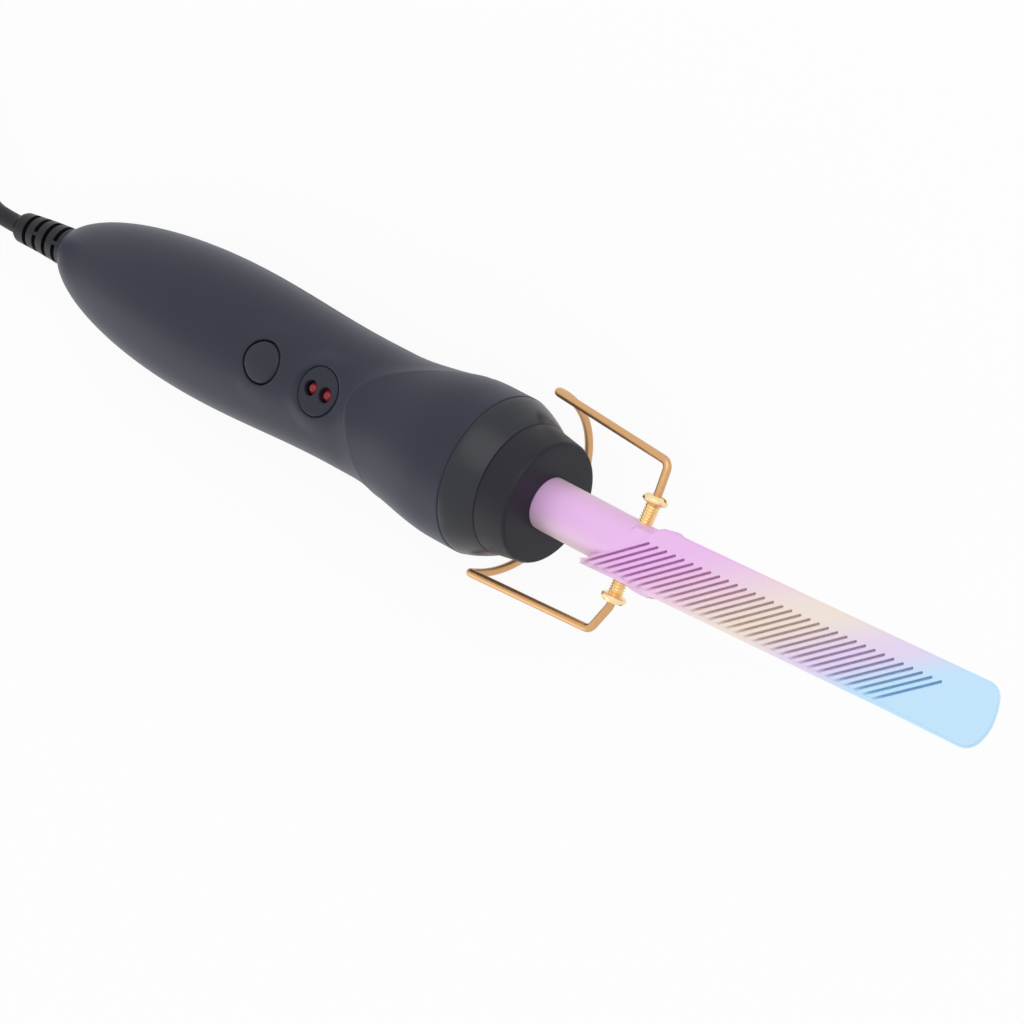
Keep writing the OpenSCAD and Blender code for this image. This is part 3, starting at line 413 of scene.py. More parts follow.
def cord():
    wound = coil()
    line = spline(ROUTE, 6)[:-1] + wound + spline([wound[-1]] + TAIL, 6)[1:]
    data = bpy.data.curves.new("mains_cord_jacket", "CURVE")
    data.dimensions = "3D"
    data.bevel_depth = CORD_R * MM
    data.bevel_resolution = 5
    data.use_fill_caps = True
    s = data.splines.new("POLY")
    s.points.add(len(line) - 1)
    for q, p in zip(s.points, line):
        q.co = (*(p * MM), 1)
    s.use_smooth = True
    data.materials.append(CORD)
    o = bpy.data.objects.new("mains_cord_jacket", data)
    bpy.context.scene.collection.objects.link(o)
    settle(o, "handle", ("mains_cord", "cord_coil", "plug_lead"))
    length = sum((b - a).length for a, b in zip(line, line[1:])) * MM
    return length


def straps():
    """Two flat straps round the coil."""
    verts, faces = [], []
    out = rounded([(19.3, 0, 0.8), (36.5, 0, 0.8), (36.5, 20.85, 0.8), (19.3, 20.85, 0.8)], 4)
    inn = rounded([(20.1, 0.8, 0.3), (35.7, 0.8, 0.3), (35.7, 20.05, 0.3), (20.1, 20.05, 0.3)], 4)
    n = len(out)
    for start in (120, 230):
        base = len(verts)
        steps = 8
        for k in range(steps + 1):
            a = math.radians(start + 14 * k / steps)
            for r, z in out + inn:
                verts.append((COIL[0] + r * math.cos(a), COIL[1] + r * math.sin(a), z))
        for k in range(steps):
            for i in range(n):
                j = (i + 1) % n
                p, q = base + k * 2 * n, base + (k + 1) * 2 * n
                faces.append((p + i, p + j, q + j, q + i))
                faces.append((p + n + j, p + n + i, q + n + i, q + n + j))
        for p, flip in ((base, 1), (base + steps * 2 * n, -1)):
            for i in range(n):
                j = (i + 1) % n
                faces.append((p + i, p + n + i, p + n + j, p + j)[::flip])
    add("cord_straps", verts, faces, TIE, replace=("cord_tie",), place=ROW)


def plug():
    """Flat two-pin plug with rounded edges and a ribbed boot."""
    w, h = 16.5, 13.6
    levels = ((2.0, 0), (1.0, 0.15), (0.35, 0.6), (0, 1.6), (0, h - 1.6), (0.35, h - 0.6),
              (1.0, h - 0.15), (2.0, h))
    plan = rounded([(-w, 0, 1.2), (w, 0, 1.2), (w, 11, 3), (w - 4, 17, 4), (w - 7, 27, 5), (6.5, 34, 2),
                    (-6.5, 34, 2), (7 - w, 27, 5), (4 - w, 17, 4), (-w, 11, 3)], 4)
    rings = []
    for inset, z in levels:
        mx, my = 1 - inset / w, 1 - inset / 17
        rings.append([(x * mx, 17 + (y - 17) * my if y > 0.5 else y, z) for x, y in plan])
    n = len(plan)
    verts = [v for ring in rings for v in ring]
    faces = [tuple(range(n))[::-1], tuple((len(rings) - 1) * n + i for i in range(n))]
    for k in range(len(rings) - 1):
        p, q = k * n, (k + 1) * n
        faces += [(p + i, p + (i + 1) % n, q + (i + 1) % n, q + i) for i in range(n)]
    body = scratch(verts, faces)
    boot = [(33, 0)]
    for i in range(4):
        y, r = 34 + 2.5 * i, 4.6 - 0.3 * i
        boot += [(y, r), (y + 1.5, r - 0.2), (y + 1.6, r - 0.9), (y + 2.4, r - 1.0)]
    boot += [(44, 3.4), (44, 2.45), (43, 2.45), (43, 0)]
    v, f = lathe(boot, 48, "y")
    grip = scratch([(x, y, h / 2 + z) for x, y, z in v], f)
    cutters = []
    for side in (-9.3, 9.3):
        v, f = lathe([(-1, 0.01), (-1, 2.45), (6.05, 2.45), (6.05, 0.01)], 40, "y")
        cutters.append(scratch([(side + x, y, h / 2 + z) for x, y, z in v], f))
    cut(body, [grip], "UNION")
    cut(body, cutters)
    place = ROW @ Matrix.Translation(PLUG_FACE) @ Matrix.Rotation(-math.pi / 2, 4, "Z")
    adopt(body, "plug_moulding", PLUG, replace=("plug_body",), place=place, sharp=32,
          weighted=True)


plug()
straps()
cord_length = cord()


# ---------------------------------------------------------------- casing
def ease(u):
    return (1 - math.cos(math.pi * min(1, max(0, u)))) / 2


def mix(a, b, u):
    return a + (b - a) * u


# The casing's radius along x: a domed rear end, the bulge, the waist behind the hood, the flare.
HANDLE_REAR, BULGE_X, WAIST_X, FLARE_X = -164.0, -107.5, -61.0, -54.0
BULGE_R, WAIST_R, FLARE_R, FLARE_L = 17.9, 16.2, 19.2, 30
REAR_R, BUTT = 5.6, BULGE_X - HANDLE_REAR
BUTT_L = BUTT / math.sqrt(1 - (REAR_R / BULGE_R) ** 2)
HOOD_X, HOOD_L, HOOD_REAR_R, HOOD_FRONT_R = -51, 27, 16.8, 19.8
# The hood's rear edge winds round the casing: its x is a constant and the cosines and sines of
# one to four times the angle from +y towards +z. These nine values are a least-squares fit to
# points of the edge on the photograph and, on the underside, to guessed ones.
CREASE = (-36.94, 4.87, -13.12, 1.6, -2.19, 0.97, 0.63, -0.03, 0.3)
FILLET_L, FILLET_RISE, EDGE_L = 8.0, 0.42, 0.5
BUTTON_X, PANEL_X = -80.8, -62.5
BUTTON_HOLE, PANEL_HOLE = 5.45, 6.12
LAMPS = (PANEL_X - 2.4, PANEL_X + 2.4)
PANEL_TOP = WAIST_R - 0.5
# Each hole sits in a square patch of the skin, PATCH to either side of its middle.
PATCH, PATCH_COLS, COLS = 8.5, 16, 90
SEAM = math.radians(0.25)


def casing_r(x):
    if x < BULGE_X:
        return BULGE_R * math.sqrt(max(0, 1 - ((x - BULGE_X) / BUTT_L) ** 2))
    if x < FLARE_X:
        return mix(BULGE_R, WAIST_R, ease((x - BULGE_X) / (WAIST_X - BULGE_X)))
    return mix(WAIST_R, FLARE_R, ease((x - FLARE_X) / FLARE_L))


def hood_r(x):
    return mix(HOOD_REAR_R, HOOD_FRONT_R, ease((x - HOOD_X) / HOOD_L))


def crease_x(angle):
    return CREASE[0] + sum(CREASE[2 * k - 1] * math.cos(k * angle) + CREASE[2 * k] * math.sin(k * angle)
                           for k in range(1, 5))


def skin_r(x, angle):
    """Radius of the casing's skin, which swells in a fillet up to the hood's edge."""
    r = casing_r(x)
    d = x - crease_x(angle)
    fillet = r + FILLET_RISE * max(0, 1 + min(0, d) / FILLET_L) ** 2
    return mix(fillet, max(r, hood_r(x)), ease(d / EDGE_L + 0.5))


def top_z(x, y):
    """Height of the crown, raised round the button and the lamp panel so that it lies flatter."""
    low = math.sqrt(casing_r(x) ** 2 - y * y)
    z = math.sqrt(skin_r(x, math.atan2(low, y)) ** 2 - y * y)
    for cx, share in ((BUTTON_X, 0.3), (PANEL_X, 0.55)):
        flat = share * (1 - ease((math.hypot(x - cx, y) - 6.0) / 4.5))
        z = mix(z, max(z, casing_r(cx) - 0.1), flat)
    return z


def button_rim(phi):
    """Rings of the button's hole along the ray at phi: (radius, z), outermost first."""
    out = []
    for k in range(7):
        a = math.pi / 2 * k / 6
        rho = BUTTON_HOLE + 0.4 * (1 - math.sin(a))
        z = top_z(BUTTON_X + rho * math.cos(phi), rho * math.sin(phi)) - 0.4 * (1 - math.cos(a))
        out.append((rho, z))
    z = out[-1][1]
    return out + [(BUTTON_HOLE, z - 0.5), (BUTTON_HOLE, 12.4)]


def panel_rim(phi):
    """Rings of the panel's recess: a bevel down to the panel, and the wall below it."""
    low = PANEL_TOP - 0.35
    rho = PANEL_HOLE
    for _ in range(8):
        z = top_z(PANEL_X + rho * math.cos(phi), rho * math.sin(phi))
        rho = PANEL_HOLE + max(0.06, (z - low) * 0.95)
    edge = min(low, z - 0.05)
    fillet = 0.3
    out = []
    for k in range(5):
        t = k / 4
        q = rho + fillet * (1 - t)
        z = top_z(PANEL_X + q * math.cos(phi), q * math.sin(phi))
        out.append((q, z - 0.10 * t * t))
    rim = out[-1][1]
    return out + [(mix(rho, PANEL_HOLE, 0.25), mix(rim, edge, 0.32)),
                  (mix(rho, PANEL_HOLE, 0.9), mix(rim, edge, 0.93)),
                  (PANEL_HOLE, edge - 0.05), (PANEL_HOLE, 13.9)]


def stations():
    """Where along x the skin has its rings: finest at the hood's edge."""
    xs = [BULGE_X - BUTT * math.cos(math.pi / 2 * i / 26) for i in range(26)]
    xs += [BULGE_X + 2.0 * i for i in range(9)] + [-90.4]
    xs += [BUTTON_X - PATCH + 2 * PATCH * i / 14 for i in range(15)] + [-71.65]
    xs += [PANEL_X - PATCH + 2 * PATCH * i / 14 for i in range(15)]
    xs += [-53.75 + 0.25 * i for i in range(146)]
    return xs + [-17.1]


def shell(name, node, up):
    """Half the casing: its skin, a soft edge at the seam with the other half and at both ends."""
    xs = stations()
    start = 0 if up else math.pi
    angles = [start + SEAM + (math.pi - 2 * SEAM) * j / COLS for j in range(COLS + 1)]
    verts, index = [], {}

    def vert(x, r, a):
        verts.append((x, r * math.cos(a), r * math.sin(a)))
        return len(verts) - 1

    nx = len(xs)
    for i, x in enumerate(xs):
        for j, a in enumerate(angles):
            r = skin_r(x, a)
            if j in (0, COLS):
                r -= 0.12
            index[i, j] = vert(x, r, a)
            on_crown = abs(math.degrees(a) - 90) < 45 and -94 < x < -51
            if up and on_crown:
                y = verts[-1][1]
                verts[-1] = (x, y, top_z(x, y))
    faces = []
    holes = [(BUTTON_X, button_rim), (PANEL_X, panel_rim)] if up else []
    taken = set()
    for cx, rim in holes:
        i0 = min(range(nx), key=lambda i: abs(xs[i] - (cx - PATCH)))
        i1 = min(range(nx), key=lambda i: abs(xs[i] - (cx + PATCH)))
        j0, j1 = COLS // 2 - PATCH_COLS, COLS // 2 + PATCH_COLS
        taken |= {(i, j) for i in range(i0, i1) for j in range(j0, j1)}
        border = [(i, j0) for i in range(i0, i1)] + [(i1, j) for j in range(j0, j1)]
        border += [(i, j1) for i in range(i1, i0, -1)] + [(i0, j) for j in range(j1, j0, -1)]
        rays = []
        for key in border:
            b = Vector(verts[index[key]])
            dx, dy = b.x - cx, b.y
            far, phi = math.hypot(dx, dy), math.atan2(dy, dx)
            edge = rim(phi)
            ray = [index[key]]
            for t in (0.2, 0.4, 0.58, 0.74, 0.87, 0.95):
                rho = mix(far, edge[0][0], t)
                x, y = cx + rho * math.cos(phi), rho * math.sin(phi)
                verts.append((x, y, top_z(x, y)))
                ray.append(len(verts) - 1)
            for rho, z in edge:
                verts.append((cx + rho * math.cos(phi), rho * math.sin(phi), z))
                ray.append(len(verts) - 1)
            rays.append(ray)
        for k in range(len(rays)):
            p, q = rays[k], rays[(k + 1) % len(rays)]
            faces += [(p[m], q[m], q[m + 1], p[m + 1]) for m in range(len(p) - 1)]
    for i in range(nx - 1):
        for j in range(COLS):
            if (i, j) not in taken:
                faces.append((index[i, j], index[i, j + 1], index[i + 1, j + 1], index[i + 1, j]))
    # Inner lips along the seam, and the turned-in front and rear edges.
    for j in (0, COLS):
        lip = [vert(x, max(0.5, skin_r(x, angles[j]) - 1.6), angles[j]) for x in xs]
        faces += [(index[i, j], index[i + 1, j], lip[i + 1], lip[i]) for i in range(nx - 1)]
    for i, ends in ((nx - 1, [(-16.75, -0.02), (-16.62, -0.08), (-16.56, -0.2), (-16.56, -4.0)]),
                    (0, [(HANDLE_REAR, -0.6), (HANDLE_REAR, -1.4), (-162, -1.45)])):
        last = [index[i, j] for j in range(COLS + 1)]
        for x, dr in ends:
            row = [vert(x, skin_r(xs[i], a) + dr, a) for a in angles]
            faces += [(last[j], last[j + 1], row[j + 1], row[j]) for j in range(COLS)]
            last = row
    add(name, verts, faces, SHELL, replace=(node,), sharp=50)


shell("handle_top", "upper_shell", True)
shell("handle_base", "lower_shell", False)


def collar():
    def cone(x):
        return mix(19.7, 16.4, ((x + 16.6) / 8.1) ** 1.3) - 0.03
    pts = rounded([(-16.54, 15.6), (-16.54, cone(-16.54), 0.15), (-15.6, cone(-15.6))], 5)[:-1]
    pts += [(-15.6 + 0.62 * i, cone(-15.6 + 0.62 * i)) for i in range(11)]
    pts += [(-8.7, 16.38), (-8.58, 16.3), (-8.53, 16.1), (-8.53, 15.6)]
    v, f = lathe(pts, 160)
    add("collar", v, f, COLLAR, replace=("collar_ring",), sharp=50)


def nose():
    pts = rounded([(-24, 13.7), (-9.5, 13.7), (-8.5, 13.8), (-8.5, 16.2, 0.2), (-0.75, 15.0, 0.6),
                   (0, 14.6, 0.9), (0, 6.5, 0.15), (-3.1, 6.5), (-3.1, 8.9), (-24, 8.9)], 6)
    v, f = lathe(pts, 160)
    add("nose", v, f, NOSE, replace=("nose_cap",), sharp=50)


collar()
nose()


# ---------------------------------------------------------------- button and lamps
LENS_R = 1.5


def polar_cap(cx, edge, top, wall, rays=96):
    """A round cap about [cx, 0]: top(x, y) gives its height, edge its outer radius and rounding."""
    radius, fillet = edge
    rings = [(radius * t, 0) for t in (0.1, 0.22, 0.36, 0.5, 0.64, 0.76, 0.86)]
    for k in range(7):
        a = math.pi / 2 * k / 6
        rings.append((radius - fillet + fillet * math.sin(a), fillet * (1 - math.cos(a))))
    verts = [(cx, 0, top(cx, 0))]
    for rho, drop in rings:
        for k in range(rays):
            phi = math.tau * k / rays
            x, y = cx + rho * math.cos(phi), rho * math.sin(phi)
            verts.append((x, y, top(x, y) - drop))
    for z in wall:
        for k in range(rays):
            phi = math.tau * k / rays
            verts.append((cx + radius * math.cos(phi), radius * math.sin(phi), z))
    n = len(rings) + len(wall)
    faces = [(0, 1 + k, 1 + (k + 1) % rays) for k in range(rays)]
    for m in range(n - 1):
        p, q = 1 + m * rays, 1 + (m + 1) * rays
        faces += [(p + k, q + k, q + (k + 1) % rays, p + (k + 1) % rays) for k in range(rays)]
    faces.append(tuple(1 + (n - 1) * rays + k for k in range(rays))[::-1])
    return verts, faces


def button():
    def top(x, y):
        dome = 0.3 * (1 - ((x - BUTTON_X) ** 2 + y * y) / 26)
        return top_z(x, y) + 0.05 + dome
    v, f = polar_cap(BUTTON_X, (5.1, 0.75), top, (13.0, 12.3))
    add("power_cap", v, f, BUTTON, "button", ("power_button",), sharp=50)


def panel():
    v, f = polar_cap(PANEL_X, (6.0, 0.6), lambda x, y: PANEL_TOP, (15.0, 14.1))
    disc = scratch(v, f)
    well = [(13, 0.01), (13, 1.85), (15.45, 1.85), (15.75, 2.1), (17, 2.1), (17, 0.01)]
    wells = []
    for x in LAMPS:
        cv, cf = lathe(well, 48, "z")
        wells.append(scratch([(x + a, b, c) for a, b, c in cv], cf))
    cut(disc, wells)
    adopt(disc, "lamp_disc", PANEL, replace=("lamp_panel",), sharp=32, weighted=True)
    turns = [math.radians(a) for a in range(0, 90, 9)]
    dome = [(13.7 + LENS_R * math.sin(a), LENS_R * math.cos(a)) for a in turns]
    for x, heat in zip(LAMPS, ("low", "high")):
        pts = [(10, 0.001), (10, 1.9), (10.9, 1.9), (10.9, LENS_R)] + dome + [(15.2, 0.001)]
        lv, lf = lathe(pts, 40, "z")
        add(heat + "_lamp_lens", [(x + a, b, c) for a, b, c in lv], lf, LENS,
            replace=(heat + "_heat_lamp",), sharp=50)


button()
panel()


# ---------------------------------------------------------------- strain relief
RELIEF_L, RELIEF_R, RELIEF_END_R, RELIEF_BEND = 19, 5.1, 3.9, 0.8
WINDOW_X, WINDOW_PITCH, WINDOW_W = -166, 3.8, 1.4


def window(x, turn):
    """The cutter of one window: half a ring round the relief, turned by turn."""
    verts, faces = [], []
    steps = 20
    for k in range(steps + 1):
        a = math.radians(6 + 168 * k / steps)
        for px, r in ((x - WINDOW_W, 2.65), (x, 2.65), (x, 7), (x - WINDOW_W, 7)):
            y, z = r * math.cos(a), r * math.sin(a)
            verts.append((px, y * math.cos(turn) - z * math.sin(turn),
                          y * math.sin(turn) + z * math.cos(turn)))
    for k in range(steps):
        p, q = 4 * k, 4 * k + 4
        faces += [(p + m, p + (m + 1) % 4, q + (m + 1) % 4, q + m) for m in range(4)]
    faces += [(3, 2, 1, 0), tuple(4 * steps + m for m in range(4))]
    return scratch(verts, faces)


def relief():
    """The strain relief: windows staggered by a quarter turn, and a slight bend to the side."""
    def along(x):
        return (HANDLE_REAR - x) / RELIEF_L
    rear, neck = -183, -181.9
    pts = [(rear, 2.45), (rear, 3.4, 0.3), (neck, mix(RELIEF_R, RELIEF_END_R, along(neck)), 0.4),
           (HANDLE_REAR, RELIEF_R, 0.2), (HANDLE_REAR, 4.1), (-161.8, 4.1), (-161.8, 4.8),
           (-159.4, 5.7), (-159.4, 2.45)]
    v, f = lathe(rounded(pts, 4), 96)
    body = scratch(v, f)
    cut(body, [window(WINDOW_X - WINDOW_PITCH * i, math.radians((90 if i % 2 == 0 else 0) + half))
               for i in range(4) for half in (0, 180)])
    for p in body.data.vertices:
        p.co.y -= RELIEF_BEND * max(0, along(p.co.x)) ** 2
    adopt(body, "cord_boot", RUBBER, replace=("strain_relief",), sharp=32,
          weighted=True)


relief()


# ---------------------------------------------------------------- comb
# The blade, turned a little about YAW_X. Its slots end at SLOT_Y and slant to the tooth edge.
FLAT = 6.5
YAW_X = 28.5
YAW = (Matrix.Translation((YAW_X, 0, 0)) @ Matrix.Rotation(math.radians(2.2), 4, "Z")
       @ Matrix.Translation((-YAW_X, 0, 0)))
SLANT = math.radians(34.4)
TEETH, SPINE, TIP = -7.5, 8.0, 132.0
SLOTS, SLOT_X, SLOT_PITCH, SLOT_Y = 33, 34, 2.58, 3.45
SHANK_R, BORE_R, SHANK_REAR, SHANK_END = 6.4, 3.6, -28, 54
KEEL_TIP_X, KEEL_TIP_R = 120, 3.2
PIVOT_X, SET_SCREW_X = 26.5, 37
REAR_X = SLOT_X - (SLOT_Y - TEETH) / math.tan(SLANT) - 2.2
SPINE_X = REAR_X + (SPINE - TEETH) / math.tan(SLANT)


def blade_outline():
    """Plan of the blade, with how far each point's upper edge is drawn in and cut down."""
    pts = []

    def arc(cx, cy, r, a0, a1, n, s0, s1):
        for k in range(n + 1):
            a = math.radians(mix(a0, a1, k / n))
            s = [mix(p, q, k / n) for p, q in zip(s0, s1)]
            pts.append((cx + r * math.cos(a), cy + r * math.sin(a), *s))
    tooth, tip, spine, rear = (1.4, 2.2), (0.5, 0.35), (0.35, 0.3), (0.7, 0.7)
    tooth_r, spine_r = 5.4, 3.8
    pts.append((REAR_X + 1.3, TEETH, 1.4, 1.6))
    for k in range(1, 11):
        pts.append((mix(REAR_X, TIP - 6.1, k / 11), TEETH, *(tooth if k < 10 else (1.0, 1.1))))
    arc(TIP - 6.1, TEETH + tooth_r, tooth_r, -90, -25, 10, (0.6, 0.6), tip)
    pts += [(TIP - 0.45, -2.55, *tip), (TIP - 0.08, -0.9, *tip), (TIP, 0.65, *tip),
            (TIP - 0.15, 2.85, *tip)]
    arc(TIP - 4.35, SPINE - spine_r, spine_r, 15, 90, 8, tip, spine)
    for k in range(1, 12):
        pts.append((mix(TIP - 4.35, SPINE_X, k / 12), SPINE, *spine))
    pts.append((SPINE_X, SPINE, *spine))
    pts += [(36.4, 7.9, *spine), (34.2, 6.9, *rear), (33.0, 5.3, *rear)]
    for t in (0.4, 0.6, 0.8):
        pts.append((mix(SPINE_X, REAR_X, t), mix(SPINE, TEETH, t), *rear))
    return pts


def blade():
    """The blade's solid in levels of its outline: rim and step at the top, then walls that draw in."""
    pts = blade_outline()
    n = len(pts)
    normal = []
    for i in range(n):
        a, b = Vector(pts[i - 1][:2]), Vector(pts[(i + 1) % n][:2])
        t = (b - a).normalized()
        normal.append(Vector((-t.y, t.x)))
    levels = []
    for u, v in ((1.0, 0.0), (0.95, 0.05), (0.89, 0.22), (0.84, 0.6), (0.72, 0.8), (0.3, 0.93),
                 (0.0, 1.05)):
        ring = []
        for (x, y, inset, drop), m in zip(pts, normal):
            ring.append((x + m.x * inset * u, y + m.y * inset * u, FLAT - drop * v))
        levels.append(ring)
    for z, inset in ((FLAT - 1.2, 0.5), (FLAT - 3.0, 2.0), (FLAT - 4.2, 3.2)):
        ring = []
        for (x, y, a, b), m in zip(pts, normal):
            k = mix(0.05, inset, 1 if y > 2 and x > 44 else ease((x - 112) / 14))
            height = min(z, FLAT - b * 1.05 - 0.1 * (1 + inset)) if z > FLAT - 4 else z
            ring.append((x + m.x * k, y + m.y * k, height))
        levels.append(ring)
    verts = [v for ring in levels for v in ring]
    faces = [tuple(range(n)), tuple((len(levels) - 1) * n + i for i in range(n))[::-1]]
    for k in range(len(levels) - 1):
        p, q = k * n, (k + 1) * n
        faces += [(p + i, q + i, q + (i + 1) % n, p + (i + 1) % n) for i in range(n)]
    return [YAW @ Vector(v) for v in verts], faces


def slot_cutter(i):
    """A thin slab with a rounded inner end, open at the tooth edge."""
    reach, w, depth = 24.0, 0.34, 1.75
    turns = [math.radians(30 * k) for k in range(7)]
    outline = [(reach, -w), (reach, w)]
    outline += [(w * 0.3 - w * math.sin(a), w * math.cos(a)) for a in turns]
    verts = []
    for z in (FLAT - depth, FLAT + 3):
        for s, t in outline:
            x = SLOT_X + SLOT_PITCH * i - s * math.cos(SLANT) + t * math.sin(SLANT)
            y = SLOT_Y - s * math.sin(SLANT) - t * math.cos(SLANT)
            verts.append(YAW @ Vector((x, y, z)))
    n = len(outline)
    faces = [tuple(range(n)), tuple(range(n, 2 * n))[::-1]]
    faces += [(k, k + n, (k + 1) % n + n, (k + 1) % n) for k in range(n)]
    return verts, faces


def comb():
    """Shank, knuckle, blade and the keel under it in one casting, then its slots and holes."""
    v, f = lathe([(SHANK_REAR, BORE_R), (SHANK_REAR, SHANK_R), (SHANK_END, SHANK_R), (SHANK_END, BORE_R)],
                 128)
    tube = scratch(v, f)
    turns = [math.radians(a) for a in range(0, 181, 10)]
    knuckle = [(26.6, 5.4)]
    mid, half_l, rise = 33, 6.4, 2.6
    knuckle += [(mid - half_l * math.cos(a), 5.9 + rise * math.sin(a)) for a in turns]
    knuckle += [(39.4, 5.4)]
    kv, kf = lathe(knuckle, 96)
    lump = scratch(kv, kf)
    over = scratch(*prism([(0, -40), (60, -40), (60, 40), (0, 40)], 5.9, 40))
    spine_side = scratch(*prism([(0, 5.6), (60, 5.6), (60, 40), (0, 40)], -40, 39))
    cut(lump, [over, spine_side])
    kv, kf = lathe([(42, 0.01), (42, SHANK_R), (SHANK_END, SHANK_R), (KEEL_TIP_X, KEEL_TIP_R),
                    (KEEL_TIP_X, 0.01)], 96)
    lift = math.atan((SHANK_R - KEEL_TIP_R) / (KEEL_TIP_X - SHANK_END))
    turn = (YAW @ Matrix.Translation((SHANK_END, 0, 0)) @ Matrix.Rotation(-lift, 4, "Y")
            @ Matrix.Translation((-SHANK_END, 0, 0)))
    keel = scratch([turn @ Vector(p) for p in kv], kf)
    plate = scratch(*blade())
    cut(keel, [scratch(*prism([(30, -40), (140, -40), (140, 40), (30, 40)], 5.4, 40))])
    cut(tube, [plate, keel, lump], "UNION")
    cutters = [scratch(*slot_cutter(i)) for i in range(SLOTS)]
    for y0, y1 in ((3.0, 12), (-12, -3.0)):
        for x, r in ((SET_SCREW_X, 2.05), (PIVOT_X, 1.85)):
            sv, sf = lathe([(y0, 0.01), (y0, r), (y1, r), (y1, 0.01)], 32, "y")
            cutters.append(scratch([(x + a, b, c) for a, b, c in sv], sf))
    # The small hole at the rear of the spine side.
    sv, sf = lathe([(6.8, 0.01), (6.8, 1.0), (12, 1.0), (12, 0.01)], 32, "y")
    cutters.append(scratch([YAW @ Vector((39.8 + a, b, 5.1 + c)) for a, b, c in sv], sf))
    cut(tube, cutters)
    adopt(tube, "comb_casting", COMB, replace=("comb",), sharp=32, weighted=True)


comb()


# ---------------------------------------------------------------- stand
def pivot_screw(name, node, way):
    """A hollow screw with ring threads and a slotted head, on the side that way points to."""
    r = 1.8
    pts = [(4.0, 1.05), (4.0, r - 0.28)]
    y = 4.5
    while y < 10.6:
        pts += [(y, r - 0.28), (y + 0.25, r), (y + 0.4, r), (y + 0.65, r - 0.28)]
        y += 0.7
    head = rounded([(11.3, 1.4), (11.3, 2.75, 0.1), (11.65, 3.05, 0.2), (12.25, 3.05, 0.3),
                    (13.05, 2.35, 0.5), (13.2, 1.3, 0.2), (13.2, 1.05), (11.3, 1.05)], 5)
    pts += head[1:-1] + [(13.2, 1.05)]
    v, f = lathe(pts, 48, "y")
    body = scratch([(PIVOT_X + a, b * way, c) for a, b, c in v], f)
    slot = scratch(*prism([(22, 12.5 * way), (31, 12.5 * way), (31, 15 * way), (22, 15 * way)], -0.4, 0.4))
    cut(body, [slot])
    adopt(body, name, BRASS, replace=(node,), sharp=30)


def bent(points, steps=8):
    """A polyline with its inner points (x, y, z, radius) turned into arcs."""
    out = [Vector(points[0][:3])]
    for i in range(1, len(points) - 1):
        p, r = Vector(points[i][:3]), points[i][3]
        a, b = (Vector(points[i - 1][:3]) - p).normalized(), (Vector(points[i + 1][:3]) - p).normalized()
        half = a.angle(b) / 2
        mid = p + (a + b).normalized() * (r / math.sin(half))
        start, end = p + a * (r / math.tan(half)) - mid, p + b * (r / math.tan(half)) - mid
        axis, total = start.cross(end).normalized(), start.angle(end)
        out += [mid + Matrix.Rotation(total * k / steps, 3, axis) @ start for k in range(steps + 1)]
    return out


def stand():
    """One bent wire: journal, slight kink, corner and arm on each side, and the round foot."""
    back, half, low, skew = 41.1, 23.5, 1.7, math.radians(3.9)

    def side(way, corner):
        foot = (-back + way * half * math.sin(skew), half * math.cos(skew))
        return bent([(0, 7, 0), (0, 14.2, 0, 4), (corner, 21, 0, 2.2), (*foot, 0, low), (*foot, -10)])
    left, right = side(1, -0.6), side(-1, -2.8)
    first = math.asin(low / half)
    arc = []
    for k in range(1, 60):
        a = mix(first, math.pi - first, k / 60)
        y = half * math.cos(a)
        arc.append(Vector((-back + y * math.sin(skew), y * math.cos(skew), -half * math.sin(a))))
    path = left + arc + [Vector((p.x, -p.y, p.z)) for p in reversed(right)]
    v, f = sweep(path, 1.0, 24)
    turn = Matrix.Translation((PIVOT_X, 0, 0)) @ Matrix.Rotation(math.radians(-4.4), 4, "Y")
    add("wire_stand", [turn @ p for p in v], f, WIRE, "stand", ("stand_wire",), sharp=50)


pivot_screw("left_pivot_screw", "pivot_screw_left", 1)
pivot_screw("right_pivot_screw", "pivot_screw_right", -1)
stand()


# ---------------------------------------------------------------- carried-over nodes
FINISH = {
    "nose_bush": CERAMIC, "heater_sleeve": CERAMIC, "mains_fuse": CERAMIC, "shank_flange": STEEL,
    "flange_screws": STEEL, "case_screws": STEEL, "board_screws": STEEL, "clamp_screws": STEEL,
    "cord_clamp": STEEL, "thermal_fuse": STEEL, "heating_element": STEEL, "set_screws": DARK_STEEL,
    "switch_plunger": CHIP, "switch_body": CHIP, "control_chip": CHIP, "heater_triac": CHIP,
    "circuit_board": BOARD, "dropper_capacitor": FILM, "filter_capacitor": SLEEVE,
    "board_resistors": RESISTOR, "inner_cord": CORD, "mains_leads": INSULATION,
    "heater_leads": GLASSFIBRE, "plug_pins": PIN, "pin_sleeves": PLUG,
}
for node, mat in FINISH.items():
    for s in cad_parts[node].material_slots:
        s.material = mat


# ---------------------------------------------------------------- floor, world and lights
FLOOR_HALF, FLOOR_Z = 4.0, -0.0002


def seen(nt):
    """1 for rays that look at the backdrop: from the camera, or by way of gloss or glass."""
    rays = nt.nodes.new("ShaderNodeLightPath")
    total = rays.outputs["Is Camera Ray"]
    for name in ("Is Glossy Ray", "Is Transmission Ray"):
        plus = nt.nodes.new("ShaderNodeMath")
        plus.operation, plus.use_clamp = "ADD", True
        nt.links.new(total, plus.inputs[0])
        nt.links.new(rays.outputs[name], plus.inputs[1])
        total = plus.outputs[0]
    return total


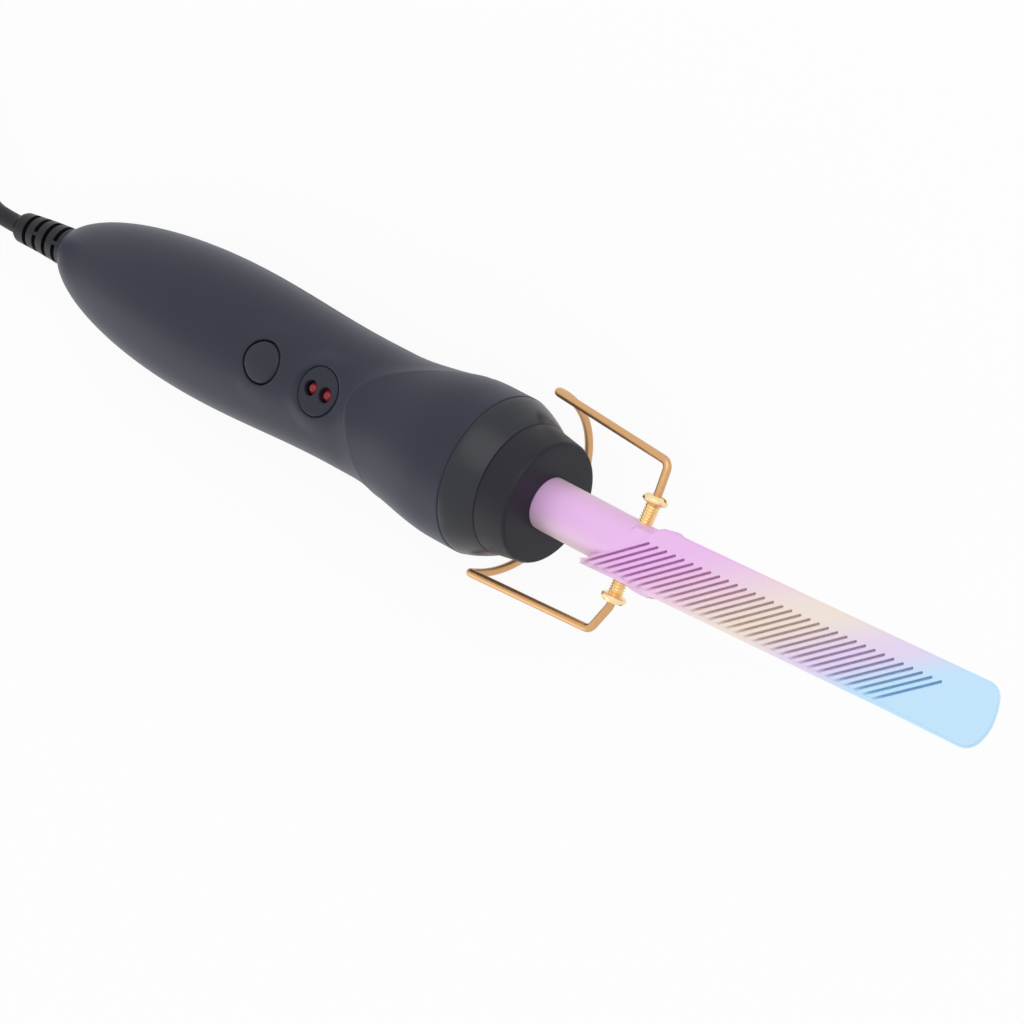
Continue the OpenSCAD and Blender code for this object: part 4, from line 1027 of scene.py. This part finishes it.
def studio():
    scene = bpy.context.scene
    scene.view_settings.view_transform = "Standard"
    world = bpy.data.worlds.new("studio")
    scene.world = world
    world.use_nodes = True
    nt = world.node_tree
    light = nt.nodes["Background"]
    light.inputs["Color"].default_value = (0.93, 0.95, 1.0, 1)
    light.inputs["Strength"].default_value = 0.74
    white = nt.nodes.new("ShaderNodeBackground")
    white.inputs["Color"].default_value = (1, 1, 1, 1)
    white.inputs["Strength"].default_value = 1.0
    choose = nt.nodes.new("ShaderNodeMixShader")
    nt.links.new(seen(nt), choose.inputs["Fac"])
    nt.links.new(light.outputs[0], choose.inputs[1])
    nt.links.new(white.outputs[0], choose.inputs[2])
    nt.links.new(choose.outputs[0], nt.nodes["World Output"].inputs["Surface"])

    floor = bpy.data.materials.new("floor_white")
    floor.use_nodes = True
    nt = floor.node_tree
    diffuse = nt.nodes["Principled BSDF"]
    diffuse.inputs["Base Color"].default_value = (0.93, 0.93, 0.93, 1)
    diffuse.inputs["Roughness"].default_value = 0.9
    glow = nt.nodes.new("ShaderNodeEmission")
    glow.inputs["Strength"].default_value = 1.0
    blend = nt.nodes.new("ShaderNodeMixShader")
    share = nt.nodes.new("ShaderNodeMath")
    share.operation = "MULTIPLY"
    share.inputs[1].default_value = 0.92
    nt.links.new(seen(nt), share.inputs[0])
    nt.links.new(share.outputs[0], blend.inputs["Fac"])
    nt.links.new(diffuse.outputs[0], blend.inputs[1])
    nt.links.new(glow.outputs[0], blend.inputs[2])
    nt.links.new(blend.outputs[0], nt.nodes["Material Output"].inputs["Surface"])
    mesh = bpy.data.meshes.new("floor")
    corners = [(x * FLOOR_HALF, y * FLOOR_HALF, 0) for x, y in ((-1, -1), (1, -1), (1, 1), (-1, 1))]
    mesh.from_pydata(corners, [], [(0, 1, 2, 3)])
    mesh.materials.append(floor)
    o = bpy.data.objects.new("floor", mesh)
    o.location.z = FLOOR_Z
    scene.collection.objects.link(o)

    def lamp(name, local, size, power):
        data = bpy.data.lights.new(name, "AREA")
        data.shape = "DISK"
        data.size, data.energy = size, power
        l = bpy.data.objects.new(name, data)
        at = REST @ Vector(local)
        l.location = at
        l.rotation_mode = "QUATERNION"
        l.rotation_quaternion = (at - Vector((0, 0, 0.03))).to_track_quat("Z", "Y")
        scene.collection.objects.link(l)
    lamp("key", (300, 500, 800), 1.0, 2.4)
    lamp("side", (-620, -660, 150), 1.0, 2.1)


studio()
